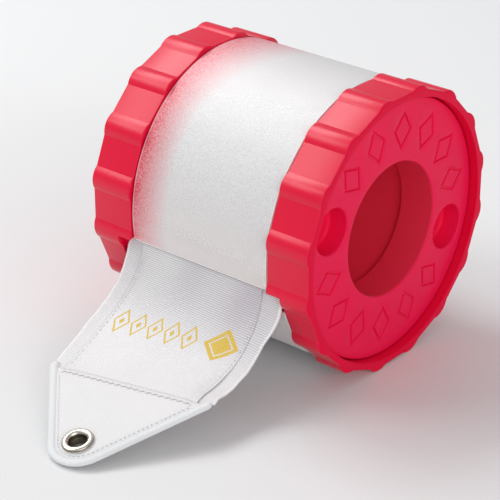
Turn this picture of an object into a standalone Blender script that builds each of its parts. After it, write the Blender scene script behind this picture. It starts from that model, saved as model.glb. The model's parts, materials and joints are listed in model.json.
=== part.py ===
"""Ribbon reel for a gymnastics ribbon: a spool that turns inside a hand-held housing.

Metres, +Z up. X is the spin axis. The reel stands on its ribs and the ribbon's end lies in
front of it, towards -Y. Angles round the axis run from +Y towards +Z, so 180 is the front.
Sizes build outwards from the bore and from the middle of the ribbon, so neighbours follow.
"""
import math

import bmesh
import bpy
import numpy as np
from mathutils import Matrix, Vector

# Clearances and cutting
FIT_GAP = 0.0003            # between any two pieces that meet or run together
CUT_OVERRUN = 0.002         # how far a cutter passes the surface it cuts

# Ribbon
RIBBON_WIDTH = 0.050
RIBBON_THICKNESS = 0.0006
ROLL_BUILD = 0.0097         # radial depth of the wound ribbon
TURN_GAP = 0.0005           # between the outer turn's end and the turn under it

# Spool, from the bore outwards
BORE_RADIUS = 0.0185
PLUG_WALL = 0.0009
PLUG_LENGTH = 0.0033
CORE_WALL = 0.0013
CORE_SPLIT_WIDTH = 0.0020
CORE_SPLIT_ANGLE = 150.0
TAB_LENGTH = 0.0070
HUB_WALL = 0.0021
RIM_WALL = 0.0020
PLATE_THICKNESS = 0.0020
CUP_RADIUS = 0.00625
CUP_WALL = 0.0010
CUP_LIP = 0.0005            # rounding at a finger cup's mouth
CUP_ANGLE = 161.0
FACE_ROUNDING = 0.0005      # at the bore's mouth and the dial's outer edge

# Engraved row of diamonds on each dial
DIAMOND_COUNT = 6           # in each half, between the finger cups
DIAMOND_PITCH = 24.0
DIAMOND_WIDTH = 0.0080
DIAMOND_HEIGHT = 0.0108
GROOVE_WIDTH = 0.0009
GROOVE_DEPTH = 0.0005

# Along the axis, from the middle of the ribbon outwards
SIDE_GAP = 0.0006           # from the ribbon's edge to a flange
FLANGE_THICKNESS = 0.0014
RIBBON_EDGE_GAP = 0.00035   # from the ribbon's edge to the ring in the notch
SPIGOT_LENGTH = 0.0024
SHOULDER_OFFSET = 0.00035
SHOULDER_THICKNESS = 0.0012
RIM_DEPTH = 0.0046
RECESS_DEPTH = 0.0025
NOTCH_DEPTH = 0.0044

# Housing, outwards
ROLL_ROOM = 0.0063          # from the roll to the sleeve
SLEEVE_WALL = 0.0007
SLEEVE_STEP = 0.0001        # the sleeve lies this far below the rings' facets
SPIGOT_WALL = 0.0008
LEDGE_STEP = 0.0001
SHOULDER_HEIGHT = 0.0012
RIB_COUNT = 16
RIB_HEIGHT = 0.0013
RIB_ROUND_RADIUS = 0.0050
EDGE_CHAMFER = 0.0004
SEGMENTS = 48
NOTCH_START = 190.0
NOTCH_SEGMENTS = 13
PASSAGE_SEGMENTS = 1        # how much earlier the ribbon's passage starts than the notch
SLIT_START = 190.5
SLIT_END = 199.0

# Paid-out end of the ribbon
TAIL_LENGTH = 0.0385        # from the slit to the point's shoulders
TIP_LENGTH = 0.0306
TIP_HALF_ANGLE = 33.4
TAIL_SLOPES = (45.9, 21.2)            # degrees below level at one and two thirds
TAIL_YAWS = (-2.8, -0.4, 9.6)         # degrees, at each third
TAIL_BANKS = (4.4, 2.4, -3.4)
TAIL_ROWS = 12
RUN_ROWS = 3
TIP_ROWS = 4
TIP_END_ANGLES = (33.4, 46.0, 60.0, 75.0)
TAIL_COLUMNS = 6
PANEL_MARGIN = 0.0045
PATCH_THICKNESS = 0.0009
PIPING_RADIUS = 0.0009
REST_GAP = 0.0001           # from the point's edge to the table
SHOULDER_TAPER = 0.0003
THREAD_RADIUS = 0.0002
THREAD_RISE = 0.0003        # how far a stitch stands above the dips between stitches
STITCH_PITCH = 0.0022
STITCH_INSET = 0.0007       # from a panel's or patch's edge to its row of stitches
SEAM_INSET = 0.0013

# Eyelet
EYELET_HOLE_RADIUS = 0.00225
EYELET_WALL = 0.00035
EYELET_FLANGE_RADIUS = 0.0042
EYELET_FLANGE_THICKNESS = 0.0006
EYELET_LIP_RADIUS = 0.0034
EYELET_LIP_THICKNESS = 0.0002
EYELET_SEAM_GAP = 0.0006    # from the flange's edge to the row of stitches round it
EYELET_SIDE_OFFSET = -0.0003
WASHER_THICKNESS = 0.0003
EYELET_SEGMENTS = 24

# Radii that follow, from the bore outwards
PLUG_RADIUS = BORE_RADIUS + PLUG_WALL
CORE_INNER_RADIUS = PLUG_RADIUS + FIT_GAP
CORE_OUTER_RADIUS = CORE_INNER_RADIUS + CORE_WALL
ROLL_INNER_RADIUS = CORE_OUTER_RADIUS + FIT_GAP
ROLL_RADIUS = ROLL_INNER_RADIUS + ROLL_BUILD
SLEEVE_INNER_RADIUS = ROLL_RADIUS + ROLL_ROOM
SLEEVE_RADIUS = SLEEVE_INNER_RADIUS + SLEEVE_WALL
FACET_RADIUS = SLEEVE_RADIUS + SLEEVE_STEP
SPIGOT_RADIUS = SLEEVE_INNER_RADIUS - FIT_GAP
LEDGE_RADIUS = SPIGOT_RADIUS - LEDGE_STEP
RING_BORE_RADIUS = SPIGOT_RADIUS - SPIGOT_WALL
SHOULDER_RADIUS = RING_BORE_RADIUS - SHOULDER_HEIGHT
DIAL_RADIUS = RING_BORE_RADIUS - FIT_GAP
FLANGE_RADIUS = SHOULDER_RADIUS - FIT_GAP
HUB_RADIUS = BORE_RADIUS + HUB_WALL
RIM_INNER_RADIUS = DIAL_RADIUS - RIM_WALL
CUP_CENTRE_RADIUS = (BORE_RADIUS + DIAL_RADIUS) / 2

# Places along the axis that follow, from the middle outwards
HALF_RIBBON = RIBBON_WIDTH / 2
FLANGE_INNER = HALF_RIBBON + SIDE_GAP
FLANGE_OUTER = FLANGE_INNER + FLANGE_THICKNESS
CORE_END = FLANGE_INNER - FIT_GAP
HUB_END = FLANGE_OUTER + FIT_GAP
PLUG_END = HUB_END - PLUG_LENGTH
LEDGE_START = HALF_RIBBON + RIBBON_EDGE_GAP
NOTCH_FACE = LEDGE_START + SPIGOT_LENGTH
SHOULDER_INNER = NOTCH_FACE + SHOULDER_OFFSET
SHOULDER_OUTER = SHOULDER_INNER + SHOULDER_THICKNESS
RIM_END = SHOULDER_OUTER + FIT_GAP
DIAL_FACE = RIM_END + RIM_DEPTH
RING_FACE = DIAL_FACE + RECESS_DEPTH
BAND_START = NOTCH_FACE - NOTCH_DEPTH
SPIGOT_START = BAND_START - SPIGOT_LENGTH
SLEEVE_HALF = BAND_START - FIT_GAP
SLEEVE_WIDE_HALF = NOTCH_FACE - FIT_GAP

# Angles that follow
SEGMENT_ANGLE = 360.0 / SEGMENTS
NOTCH_END = NOTCH_START + NOTCH_SEGMENTS * SEGMENT_ANGLE
PASSAGE_START = NOTCH_START - PASSAGE_SEGMENTS * SEGMENT_ANGLE
SLIT_MIDDLE = (SLIT_START + SLIT_END) / 2

# Outer turn, whose facets clear the roll's rim
TURN_STEPS = 24
TURN_EXTRA_STEPS = 1
TURN_START_RADIUS = ((ROLL_RADIUS + FIT_GAP) / math.cos(math.pi / TURN_STEPS)
                     + RIBBON_THICKNESS / 2)
TURN_PITCH = RIBBON_THICKNESS + TURN_GAP
TURN_END_RADIUS = TURN_START_RADIUS + TURN_PITCH * (1 + TURN_EXTRA_STEPS / TURN_STEPS)
TAIL_START_RADIUS = TURN_END_RADIUS + RIBBON_THICKNESS + FIT_GAP

# Heights above the base ribbon's middle
PANEL_LIFT = RIBBON_THICKNESS + FIT_GAP
PANEL_TOP = PANEL_LIFT + RIBBON_THICKNESS / 2
PATCH_BOTTOM = RIBBON_THICKNESS / 2 + FIT_GAP
PATCH_TOP = PATCH_BOTTOM + PATCH_THICKNESS
PIPING_LIFT = (PATCH_TOP - RIBBON_THICKNESS / 2) / 2
WASHER_TOP = -RIBBON_THICKNESS / 2 - FIT_GAP
WASHER_BOTTOM = WASHER_TOP - WASHER_THICKNESS
LIP_TOP = WASHER_BOTTOM - FIT_GAP
LIP_BOTTOM = LIP_TOP - EYELET_LIP_THICKNESS
EYELET_BARREL_RADIUS = EYELET_HOLE_RADIUS + EYELET_WALL
POINT_INSET = 2 * PIPING_RADIUS + FIT_GAP
SEAM_LINE_INSET = POINT_INSET + STITCH_INSET

# Colours: red, green, blue, roughness, metallic
RED_PLASTIC = (0.80, 0.02, 0.06, 0.32, 0.0)
DEEP_RED_PLASTIC = (0.62, 0.02, 0.05, 0.28, 0.0)
FROSTED_CLEAR = (0.88, 0.89, 0.90, 0.45, 0.0)
WHITE_RIBBON = (0.88, 0.88, 0.88, 0.60, 0.0)
WHITE_THREAD = (0.72, 0.73, 0.75, 0.70, 0.0)
NICKEL = (0.78, 0.76, 0.70, 0.25, 1.0)

parts_collection = None
cutter_collection = None


def clear_scene():
    for old in list(bpy.data.objects):
        bpy.data.objects.remove(old, do_unlink=True)


def make_collection(name):
    collection = bpy.data.collections.new(name)
    bpy.context.scene.collection.children.link(collection)
    return collection


def make_empty(name, parent=None, matrix=None):
    empty = bpy.data.objects.new(name, None)
    parts_collection.objects.link(empty)
    empty.parent = parent
    if matrix is not None:
        empty.matrix_local = matrix
    return empty


def set_material(obj, colour):
    material = bpy.data.materials.new(obj.name + "_finish")
    material.use_nodes = True
    shader = material.node_tree.nodes["Principled BSDF"]
    red, green, blue, roughness, metallic = colour
    shader.inputs["Base Color"].default_value = (red, green, blue, 1.0)
    shader.inputs["Roughness"].default_value = roughness
    shader.inputs["Metallic"].default_value = metallic
    material.diffuse_color = (red, green, blue, 1.0)
    obj.data.materials.append(material)


def make_object(name, mesh, parent, colour=None):
    """A part in the parts collection, or a hidden cutter when it has no colour."""
    obj = bpy.data.objects.new(name, mesh)
    obj.parent = parent
    if colour is None:
        cutter_collection.objects.link(obj)
        obj.hide_render = True
        obj.display_type = "WIRE"
    else:
        parts_collection.objects.link(obj)
        set_material(obj, colour)
    return obj


def smooth(mesh):
    mesh.shade_smooth()
    mesh.set_sharp_from_angle(angle=math.radians(35.0))


def polar(radius, angle):
    """A point of the reel's cross section at this radius and angle in degrees."""
    turn = math.radians(angle)
    return (radius * math.cos(turn), radius * math.sin(turn))


def arc(radius, start, end, steps):
    return [polar(radius, start + (end - start) * step / steps) for step in range(steps + 1)]


def signed_area(points):
    area = 0.0
    for (x_a, y_a), (x_b, y_b) in zip(points, points[1:] + points[:1]):
        area += x_a * y_b - x_b * y_a
    return area / 2


def turned(name, profile, parent, colour=None, segments=SEGMENTS, start=NOTCH_START):
    """A solid of revolution round local Z from a closed profile of (radius, height) points."""
    points = list(profile)
    if signed_area(points) > 0:
        points.reverse()
    rim = [Vector((*polar(radius, start), height)) for radius, height in points]
    mesh = bpy.data.meshes.new(name)
    on_axis = points[0][0] == 0 and points[-1][0] == 0
    count = len(points)
    edges = [(k, (k + 1) % count) for k in range(count - 1 if on_axis else count)]
    mesh.from_pydata(rim, edges, [])
    obj = make_object(name, mesh, parent, colour)
    screw = obj.modifiers.new("turn", "SCREW")
    screw.axis = "Z"
    screw.steps = segments
    screw.render_steps = segments
    screw.use_merge_vertices = True
    screw.merge_threshold = 1e-6
    screw.use_smooth_shade = False
    return obj


def extruded(name, loops, low, high, parent, colour=None, matrix=None):
    """A flat outline, with any holes, filled and extruded along local Z from low to high."""
    curve = bpy.data.curves.new(name, "CURVE")
    curve.dimensions = "2D"
    curve.fill_mode = "BOTH"
    curve.extrude = (high - low) / 2
    for loop in loops:
        spline = curve.splines.new("POLY")
        spline.points.add(len(loop) - 1)
        for point, (x, y) in zip(spline.points, loop):
            point.co = (x, y, 0.0, 1.0)
        spline.use_cyclic_u = True
    drawn = bpy.data.objects.new(name + "_outline", curve)
    bpy.context.scene.collection.objects.link(drawn)
    mesh = mesh_from_curve(drawn, name)
    mesh.transform(Matrix.Translation((0.0, 0.0, (low + high) / 2)))
    if matrix is not None:
        mesh.transform(matrix)
    return make_object(name, mesh, parent, colour)


def mesh_from_curve(drawn, name):
    """The curve's evaluated mesh with its caps welded on; the curve itself is removed."""
    graph = bpy.context.evaluated_depsgraph_get()
    mesh = bpy.data.meshes.new_from_object(drawn.evaluated_get(graph))
    mesh.name = name
    form = bmesh.new()
    form.from_mesh(mesh)
    bmesh.ops.remove_doubles(form, verts=form.verts, dist=1e-7)
    bmesh.ops.recalc_face_normals(form, faces=form.faces)
    form.to_mesh(mesh)
    form.free()
    bpy.data.objects.remove(drawn, do_unlink=True)
    return mesh


def boolean(obj, cutter, operation="DIFFERENCE"):
    step = obj.modifiers.new(operation.lower() + "_" + cutter.name, "BOOLEAN")
    step.object = cutter
    step.operation = operation
    step.solver = "EXACT"


def band_outline(points, thickness):
    """A closed outline that follows a line of points at half the thickness on each side."""
    line = np.array(points)
    along = np.gradient(line, axis=0)
    along /= np.linalg.norm(along, axis=1)[:, None]
    across = np.stack([-along[:, 1], along[:, 0]], axis=1) * thickness / 2
    outline = np.vstack([line + across, (line - across)[::-1]])
    return [tuple(point) for point in outline]


def sector(name, inner, outer, start, end, low, high, parent):
    """A ring sector used as a cutter; its arcs have points on the housing's segments."""
    steps = max(1, round((end - start) / SEGMENT_ANGLE))
    loop = arc(outer, start, end, steps) + arc(inner, end, start, steps)
    return extruded(name, [loop], low, high, parent)


def ring_outline():
    """The grip ring's outline: flat facets that run into a rounded rib at each corner."""
    half_pitch = 180.0 / RIB_COUNT
    rib_centre = FACET_RADIUS + RIB_HEIGHT - RIB_ROUND_RADIUS
    rise = math.radians(half_pitch)
    # The rib's round meets the facet where its height over the facet line is nil.
    reach = math.acos((FACET_RADIUS - rib_centre * math.cos(rise)) / RIB_ROUND_RADIUS)
    spread = reach + rise
    points = []
    arc_steps = 6
    for rib in range(RIB_COUNT):
        middle = math.radians(half_pitch + 2 * half_pitch * rib)
        for step in range(arc_steps + 1):
            lean = middle - spread + 2 * spread * step / arc_steps
            points.append((rib_centre * math.cos(middle) + RIB_ROUND_RADIUS * math.cos(lean),
                           rib_centre * math.sin(middle) + RIB_ROUND_RADIUS * math.sin(lean)))
    return points


FLOOR_DEPTH = -min(z for _, z in ring_outline())


def make_grip_ring(name, side, axis):
    """Ring with ribs outside, a spigot for the sleeve, an inner shoulder and the notch."""
    low, high = sorted((side * SPIGOT_START, side * RING_FACE))
    ring = extruded(name, [ring_outline()], low, high, axis, RED_PLASTIC)
    chamfer = ring.modifiers.new("edge_chamfer", "BEVEL")
    chamfer.width = EDGE_CHAMFER
    chamfer.segments = 1
    chamfer.limit_method = "ANGLE"
    chamfer.angle_limit = math.radians(60.0)
    over = CUT_OVERRUN
    bore = [(0.0, SPIGOT_START - over), (RING_BORE_RADIUS, SPIGOT_START - over),
            (RING_BORE_RADIUS, SHOULDER_INNER), (SHOULDER_RADIUS, SHOULDER_INNER),
            (SHOULDER_RADIUS, SHOULDER_OUTER), (RING_BORE_RADIUS, SHOULDER_OUTER),
            (RING_BORE_RADIUS, RING_FACE + over), (0.0, RING_FACE + over)]
    bore = [(radius, side * height) for radius, height in bore]
    boolean(ring, turned(name + "_bore", bore, axis))
    past_ribs = FACET_RADIUS + RIB_HEIGHT + over
    land = [(SPIGOT_RADIUS, SPIGOT_START - over), (past_ribs, SPIGOT_START - over),
            (past_ribs, BAND_START), (SPIGOT_RADIUS, BAND_START)]
    boolean(ring, turned(name + "_spigot_land", [(r, side * h) for r, h in land], axis))
    low, high = sorted((side * (BAND_START - over), side * NOTCH_FACE))
    boolean(ring, sector(name + "_notch", LEDGE_RADIUS, past_ribs, NOTCH_START, NOTCH_END,
                         low, high, axis))
    low, high = sorted((side * (SPIGOT_START - over), side * LEDGE_START))
    boolean(ring, sector(name + "_passage", SHOULDER_RADIUS, SPIGOT_RADIUS + LEDGE_STEP,
                         PASSAGE_START, NOTCH_END, low, high, axis))
    return ring


def make_sleeve(axis):
    """Sheet tube, open along the slit and wider where it fills the rings' notches."""
    steps = 46
    end = 360.0 + SLIT_START
    loop = arc(SLEEVE_RADIUS, SLIT_END, end, steps)
    loop += arc(SLEEVE_INNER_RADIUS, end, SLIT_END, steps)
    sleeve = extruded("window_sleeve", [loop], -SLEEVE_WIDE_HALF, SLEEVE_WIDE_HALF, axis,
                      FROSTED_CLEAR)
    end_gap = math.degrees(FIT_GAP / SLEEVE_RADIUS)
    for side, word in ((-1, "left"), (1, "right")):
        low, high = sorted((side * SLEEVE_HALF, side * (SLEEVE_WIDE_HALF + CUT_OVERRUN)))
        boolean(sleeve, sector("sleeve_" + word + "_trim", SLEEVE_INNER_RADIUS - CUT_OVERRUN,
                               SLEEVE_RADIUS + CUT_OVERRUN, NOTCH_END - end_gap,
                               360.0 + SLIT_MIDDLE, low, high, axis))
    return sleeve


def diamond_loops(angle):
    """Outer and inner outline of one engraved diamond, as a frame with an open middle."""
    half_width = DIAMOND_WIDTH / 2
    half_height = DIAMOND_HEIGHT / 2
    slant = math.atan2(half_width, half_height)
    inner_width = half_width - GROOVE_WIDTH / math.cos(slant)
    inner_height = half_height - GROOVE_WIDTH / math.sin(slant)
    loops = []
    for width, height in ((half_width, half_height), (inner_width, inner_height)):
        corners = ((height, 0.0), (0.0, width), (-height, 0.0), (0.0, -width))
        turn = math.radians(angle)
        loops.append([((CUP_CENTRE_RADIUS + out) * math.cos(turn) - aside * math.sin(turn),
                       (CUP_CENTRE_RADIUS + out) * math.sin(turn) + aside * math.cos(turn))
                      for out, aside in corners])
    return loops


def make_dial(name, side, axis):
    """Dial moulding: face plate, rim, hub and plug, with two finger cups and its engraving."""
    round_off = FACE_ROUNDING
    plate_back = DIAL_FACE - PLATE_THICKNESS
    profile = [(BORE_RADIUS, PLUG_END), (PLUG_RADIUS, PLUG_END), (PLUG_RADIUS, HUB_END),
               (HUB_RADIUS, HUB_END), (HUB_RADIUS, plate_back), (RIM_INNER_RADIUS, plate_back),
               (RIM_INNER_RADIUS, RIM_END), (DIAL_RADIUS, RIM_END),
               (DIAL_RADIUS, DIAL_FACE - round_off), (DIAL_RADIUS - round_off, DIAL_FACE),
               (BORE_RADIUS + round_off, DIAL_FACE), (BORE_RADIUS, DIAL_FACE - round_off)]
    dial = turned(name, [(r, side * h) for r, h in profile], axis, RED_PLASTIC)
    cup_back = HUB_END
    cup_floor = cup_back + CUP_WALL
    past_face = DIAL_FACE + CUT_OVERRUN
    cup = [(0.0, cup_back), (CUP_RADIUS + CUP_WALL, cup_back),
           (CUP_RADIUS + CUP_WALL, DIAL_FACE - PLATE_THICKNESS / 2),
           (0.0, DIAL_FACE - PLATE_THICKNESS / 2)]
    hollow = [(0.0, cup_floor), (CUP_RADIUS, cup_floor), (CUP_RADIUS, DIAL_FACE - CUP_LIP),
              (CUP_RADIUS + CUP_LIP, DIAL_FACE), (CUP_RADIUS + CUP_LIP, past_face),
              (0.0, past_face)]
    cup_segments = 24
    for number, angle in enumerate((CUP_ANGLE, CUP_ANGLE + 180.0), start=1):
        centre = Vector((*polar(CUP_CENTRE_RADIUS, angle), 0.0))
        wall = turned(f"{name}_cup_{number}", [(r, side * h) for r, h in cup], axis,
                      segments=cup_segments, start=0.0)
        wall.location = centre
        boolean(dial, wall, "UNION")
    for number, angle in enumerate((CUP_ANGLE, CUP_ANGLE + 180.0), start=1):
        opening = turned(f"{name}_cup_hollow_{number}", [(r, side * h) for r, h in hollow],
                         axis, segments=cup_segments, start=0.0)
        opening.location = Vector((*polar(CUP_CENTRE_RADIUS, angle), 0.0))
        boolean(dial, opening)
    loops = []
    for half in (0, 1):
        for number in range(DIAMOND_COUNT):
            offset = (number - (DIAMOND_COUNT - 1) / 2) * DIAMOND_PITCH
            loops += diamond_loops(CUP_ANGLE + 90.0 + 180.0 * half + offset)
    low, high = sorted((side * (DIAL_FACE - GROOVE_DEPTH), side * past_face))
    boolean(dial, extruded(name + "_diamonds", loops, low, high, axis))
    return dial


def make_flange(name, side, axis):
    profile = [(CORE_INNER_RADIUS, FLANGE_INNER), (FLANGE_RADIUS, FLANGE_INNER),
               (FLANGE_RADIUS, FLANGE_OUTER), (CORE_INNER_RADIUS, FLANGE_OUTER)]
    return turned(name, [(r, side * h) for r, h in profile], axis, RED_PLASTIC)


def make_core_tube(axis):
    """Tube with a split along its whole length, which holds the ribbon's inner end."""
    middle_radius = (CORE_INNER_RADIUS + CORE_OUTER_RADIUS) / 2
    half_split = math.degrees(CORE_SPLIT_WIDTH / 2 / middle_radius)
    start = CORE_SPLIT_ANGLE + half_split
    end = CORE_SPLIT_ANGLE + 360.0 - half_split
    steps = 32
    loop = arc(CORE_OUTER_RADIUS, start, end, steps) + arc(CORE_INNER_RADIUS, end, start, steps)
    return extruded("core_tube", [loop], -CORE_END, CORE_END, axis, DEEP_RED_PLASTIC)


def make_roll(axis):
    profile = [(ROLL_INNER_RADIUS, -HALF_RIBBON), (ROLL_RADIUS, -HALF_RIBBON),
               (ROLL_RADIUS, HALF_RIBBON), (ROLL_INNER_RADIUS, HALF_RIBBON)]
    start = tail_start_angle()
    return turned("ribbon_roll", profile, axis, WHITE_RIBBON, start=start)


def tail_start_angle():
    """Where the straight run to the slit leaves the circle of the outer turn."""
    exit_radius = (SLEEVE_INNER_RADIUS + SLEEVE_RADIUS) / 2
    return SLIT_MIDDLE - math.degrees(math.acos(TAIL_START_RADIUS / exit_radius))


def make_outer_turn(axis):
    """The outermost turn, a spiral that ends where the paid-out ribbon begins."""
    last = TURN_STEPS + TURN_EXTRA_STEPS
    end_angle = tail_start_angle()
    line = []
    for step in range(last + 1):
        radius = TURN_START_RADIUS + TURN_PITCH * step / TURN_STEPS
        line.append(polar(radius, end_angle - (last - step) * 360.0 / TURN_STEPS))
    points = np.array(line)
    starts = points[:TURN_EXTRA_STEPS]
    ends = points[TURN_STEPS:-1]
    gap = float(np.min(np.linalg.norm(ends - starts, axis=1))) - RIBBON_THICKNESS
    print(f"ribbon_outer_turn: least gap to itself {gap * 1000:.2f} mm")
    return extruded("ribbon_outer_turn", [band_outline(line, RIBBON_THICKNESS)],
                    -HALF_RIBBON, HALF_RIBBON, axis, WHITE_RIBBON)


def make_start_tab(axis):
    """The ribbon's inner end: through the core's split, then along the core's inside."""
    lie_radius = CORE_INNER_RADIUS - FIT_GAP - RIBBON_THICKNESS / 2
    lie_angle = math.degrees(TAB_LENGTH / lie_radius)
    line = [polar(CORE_OUTER_RADIUS, CORE_SPLIT_ANGLE)]
    bend_steps = 5
    line += arc(lie_radius, CORE_SPLIT_ANGLE, CORE_SPLIT_ANGLE - lie_angle, bend_steps)
    half_width = PLUG_END - FIT_GAP
    return extruded("ribbon_start_tab", [band_outline(line, RIBBON_THICKNESS)],
                    -half_width, half_width, axis, WHITE_RIBBON)


def eased(share, values):
    """A smooth value that starts level at nil and passes the three values at the thirds."""
    thirds = np.array([1.0, 2.0, 3.0]) / 3.0
    powers = np.array([2, 3, 4])
    factors = np.linalg.solve(thirds[:, None] ** powers, np.array(values))
    return (share[:, None] ** powers) @ factors


def tail_frames(tip_slope):
    """Rows of the ribbon's end: arc length, place, and its forward, side and upward ways."""
    exit_radius = (SLEEVE_INNER_RADIUS + SLEEVE_RADIUS) / 2
    start_angle = tail_start_angle()
    start = np.array([0.0, *polar(TAIL_START_RADIUS, start_angle)])
    leave = np.array([0.0, *polar(exit_radius, SLIT_MIDDLE)])
    run_length = float(np.linalg.norm(leave - start))
    run_slope = math.degrees(math.atan2(start[2] - leave[2], start[1] - leave[1]))
    fine = 96
    share = np.linspace(0.0, 1.0, fine + 1)
    knots = np.array([0.0, 1.0, 2.0, 3.0]) / 3.0
    slopes = np.array([run_slope, *TAIL_SLOPES, tip_slope])
    slope = np.radians(np.vander(share, 4) @ np.linalg.solve(np.vander(knots, 4), slopes))
    yaw = np.radians(eased(share, TAIL_YAWS))
    bank = np.radians(eased(share, TAIL_BANKS))
    forward = np.stack([np.sin(yaw) * np.cos(slope), -np.cos(yaw) * np.cos(slope),
                        -np.sin(slope)], axis=1)
    level = np.stack([np.cos(yaw), np.sin(yaw), np.zeros_like(yaw)], axis=1)
    down = np.cross(level, forward)
    side = level * np.cos(bank)[:, None] + down * np.sin(bank)[:, None]
    middle = (forward[1:] + forward[:-1]) / 2 * TAIL_LENGTH / fine
    place = leave + np.vstack([np.zeros(3), np.cumsum(middle, axis=0)])
    keep = np.linspace(0, fine, TAIL_ROWS + 1).astype(int)
    rows = []
    run_forward = (leave - start) / run_length
    run_side = np.array([1.0, 0.0, 0.0])
    for step in range(RUN_ROWS):
        part = step / RUN_ROWS
        rows.append(((part - 1) * run_length, start + (leave - start) * part, run_forward,
                     run_side))
    for index in keep:
        rows.append((share[index] * TAIL_LENGTH, place[index], forward[index], side[index]))
    return [(length, spot, ahead, aside, np.cross(ahead, aside))
            for length, spot, ahead, aside in rows]


def tip_round(inset):
    """Centre and radius of the round that ends the point, for an outline inset this far."""
    lean = math.radians(TIP_HALF_ANGLE)
    centre = (TIP_LENGTH - HALF_RIBBON * math.cos(lean)) / (1 - math.sin(lean))
    return centre, TIP_LENGTH - centre - inset


def tip_half_width(ahead, inset):
    """Half width of the point's straight sides this far past the shoulders."""
    lean = math.radians(TIP_HALF_ANGLE)
    return HALF_RIBBON - inset / math.cos(lean) - ahead * math.tan(lean)


def tip_place(frame, ahead, aside, lift):
    _, spot, forward, side, up = frame
    return spot + forward * ahead + side * aside + up * lift


def tip_outline(inset, first, arc_steps):
    """The point's outline, from the right shoulder round its end to the left one."""
    lean = math.radians(TIP_HALF_ANGLE)
    centre, radius = tip_round(inset)
    half = [(first, tip_half_width(first, inset))]
    for step in range(arc_steps + 1):
        turn = lean + (math.pi / 2 - lean) * step / arc_steps
        half.append((centre + radius * math.sin(turn), radius * math.cos(turn)))
    return half + [(ahead, -aside) for ahead, aside in reversed(half[:-1])]


def piping_line(frame):
    """Centre line of the bound edge round the point."""
    first = FIT_GAP + PIPING_RADIUS
    outline = tip_outline(PIPING_RADIUS, first, arc_steps=6)
    return [tip_place(frame, ahead, aside, PIPING_LIFT) for ahead, aside in outline]


def eyelet_ahead():
    """How far past the shoulders the eyelet's flange still keeps its gap to the stitches."""
    lean = math.radians(TIP_HALF_ANGLE)
    reach = EYELET_FLANGE_RADIUS + EYELET_SEAM_GAP
    aside = abs(EYELET_SIDE_OFFSET)
    spare = tip_half_width(0.0, SEAM_LINE_INSET) - aside - reach / math.cos(lean)
    by_sides = spare / math.tan(lean)
    centre, radius = tip_round(SEAM_LINE_INSET)
    room = radius - reach
    if room <= aside:
        return by_sides
    return min(by_sides, centre + math.sqrt(room ** 2 - aside ** 2))


def lowest_of_tip(frame):
    """Height of the lowest of the point's bound edge and the eyelet's lower lip."""
    edge = min(point[2] for point in piping_line(frame)) - PIPING_RADIUS
    lip_middle = tip_place(frame, eyelet_ahead(), EYELET_SIDE_OFFSET, LIP_BOTTOM)
    lip = lip_middle[2] - EYELET_LIP_RADIUS * math.hypot(frame[4][0], frame[4][1])
    return min(edge, lip)


def resting_slope():
    """Slope of the point at which it just clears the table, found by halving."""
    low, high = -30.0, 60.0
    for _ in range(40):
        slope = (low + high) / 2
        if lowest_of_tip(tail_frames(slope)[-1]) > REST_GAP - FLOOR_DEPTH:
            low = slope
        else:
            high = slope
    return (low + high) / 2


def sheet(name, grid, thickness, parent, colour):
    """A cloth solid: a grid of points thickened evenly on both sides."""
    rows, columns, _ = grid.shape
    faces = [(r * columns + c, r * columns + c + 1, (r + 1) * columns + c + 1,
              (r + 1) * columns + c) for r in range(rows - 1) for c in range(columns - 1)]
    mesh = bpy.data.meshes.new(name)
    mesh.from_pydata([tuple(point) for point in grid.reshape(-1, 3)], [], faces)
    obj = make_object(name, mesh, parent, colour)
    thick = obj.modifiers.new("cloth", "SOLIDIFY")
    thick.thickness = thickness
    thick.offset = 0.0
    thick.use_even_offset = True
    return obj


def make_tail(frames, parent):
    """The base ribbon: full width to the shoulders, then the inset shape of the point."""
    centre, radius = tip_round(POINT_INSET)
    lean = math.radians(TIP_HALF_ANGLE)
    straight_end = centre + radius * math.sin(lean)
    outline = [(frame, 0.0, HALF_RIBBON) for frame in frames[:-1]]
    last = frames[-1]
    outline.append((last, -SHOULDER_TAPER, HALF_RIBBON))
    for step in range(TIP_ROWS):
        ahead = straight_end * step / TIP_ROWS
        outline.append((last, ahead, tip_half_width(ahead, POINT_INSET)))
    for angle in TIP_END_ANGLES:
        turn = math.radians(angle)
        outline.append((last, centre + radius * math.sin(turn), radius * math.cos(turn)))
    across = np.linspace(-1.0, 1.0, TAIL_COLUMNS + 1)
    grid = np.array([[tip_place(frame, ahead, half * share, 0.0) for share in across]
                     for frame, ahead, half in outline])
    return sheet("ribbon_tail", grid, RIBBON_THICKNESS, parent, WHITE_RIBBON)


def make_panel(frames, parent):
    half = HALF_RIBBON - PANEL_MARGIN
    across = np.linspace(-half, half, TAIL_COLUMNS + 1)
    outside = [frame for frame in frames if frame[0] >= 0.0]
    grid = np.array([[tip_place(frame, 0.0, aside, PANEL_LIFT) for aside in across]
                     for frame in outside])
    grid[-1] -= outside[-1][2] * FIT_GAP
    return sheet("doubled_panel", grid, RIBBON_THICKNESS, parent, WHITE_RIBBON)


def frame_matrix(frame, ahead=0.0, aside=0.0):
    """Local X to the side, local Y backwards and local Z upwards from the ribbon."""
    _, _, forward, side, up = frame
    spot = tip_place(frame, ahead, aside, 0.0)
    columns = np.stack([side, -forward, up], axis=1)
    matrix = Matrix(columns.tolist()).to_4x4()
    matrix.translation = Vector(spot)
    return matrix


def make_patch(frame, parent):
    loop = [(aside, -ahead) for ahead, aside in tip_outline(POINT_INSET, 0.0, arc_steps=6)]
    return extruded("tip_patch", [loop], PATCH_BOTTOM, PATCH_TOP, parent, WHITE_RIBBON,
                    matrix=frame_matrix(frame))


def eyelet_axis(frame):
    return frame_matrix(frame, eyelet_ahead(), EYELET_SIDE_OFFSET)


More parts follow.
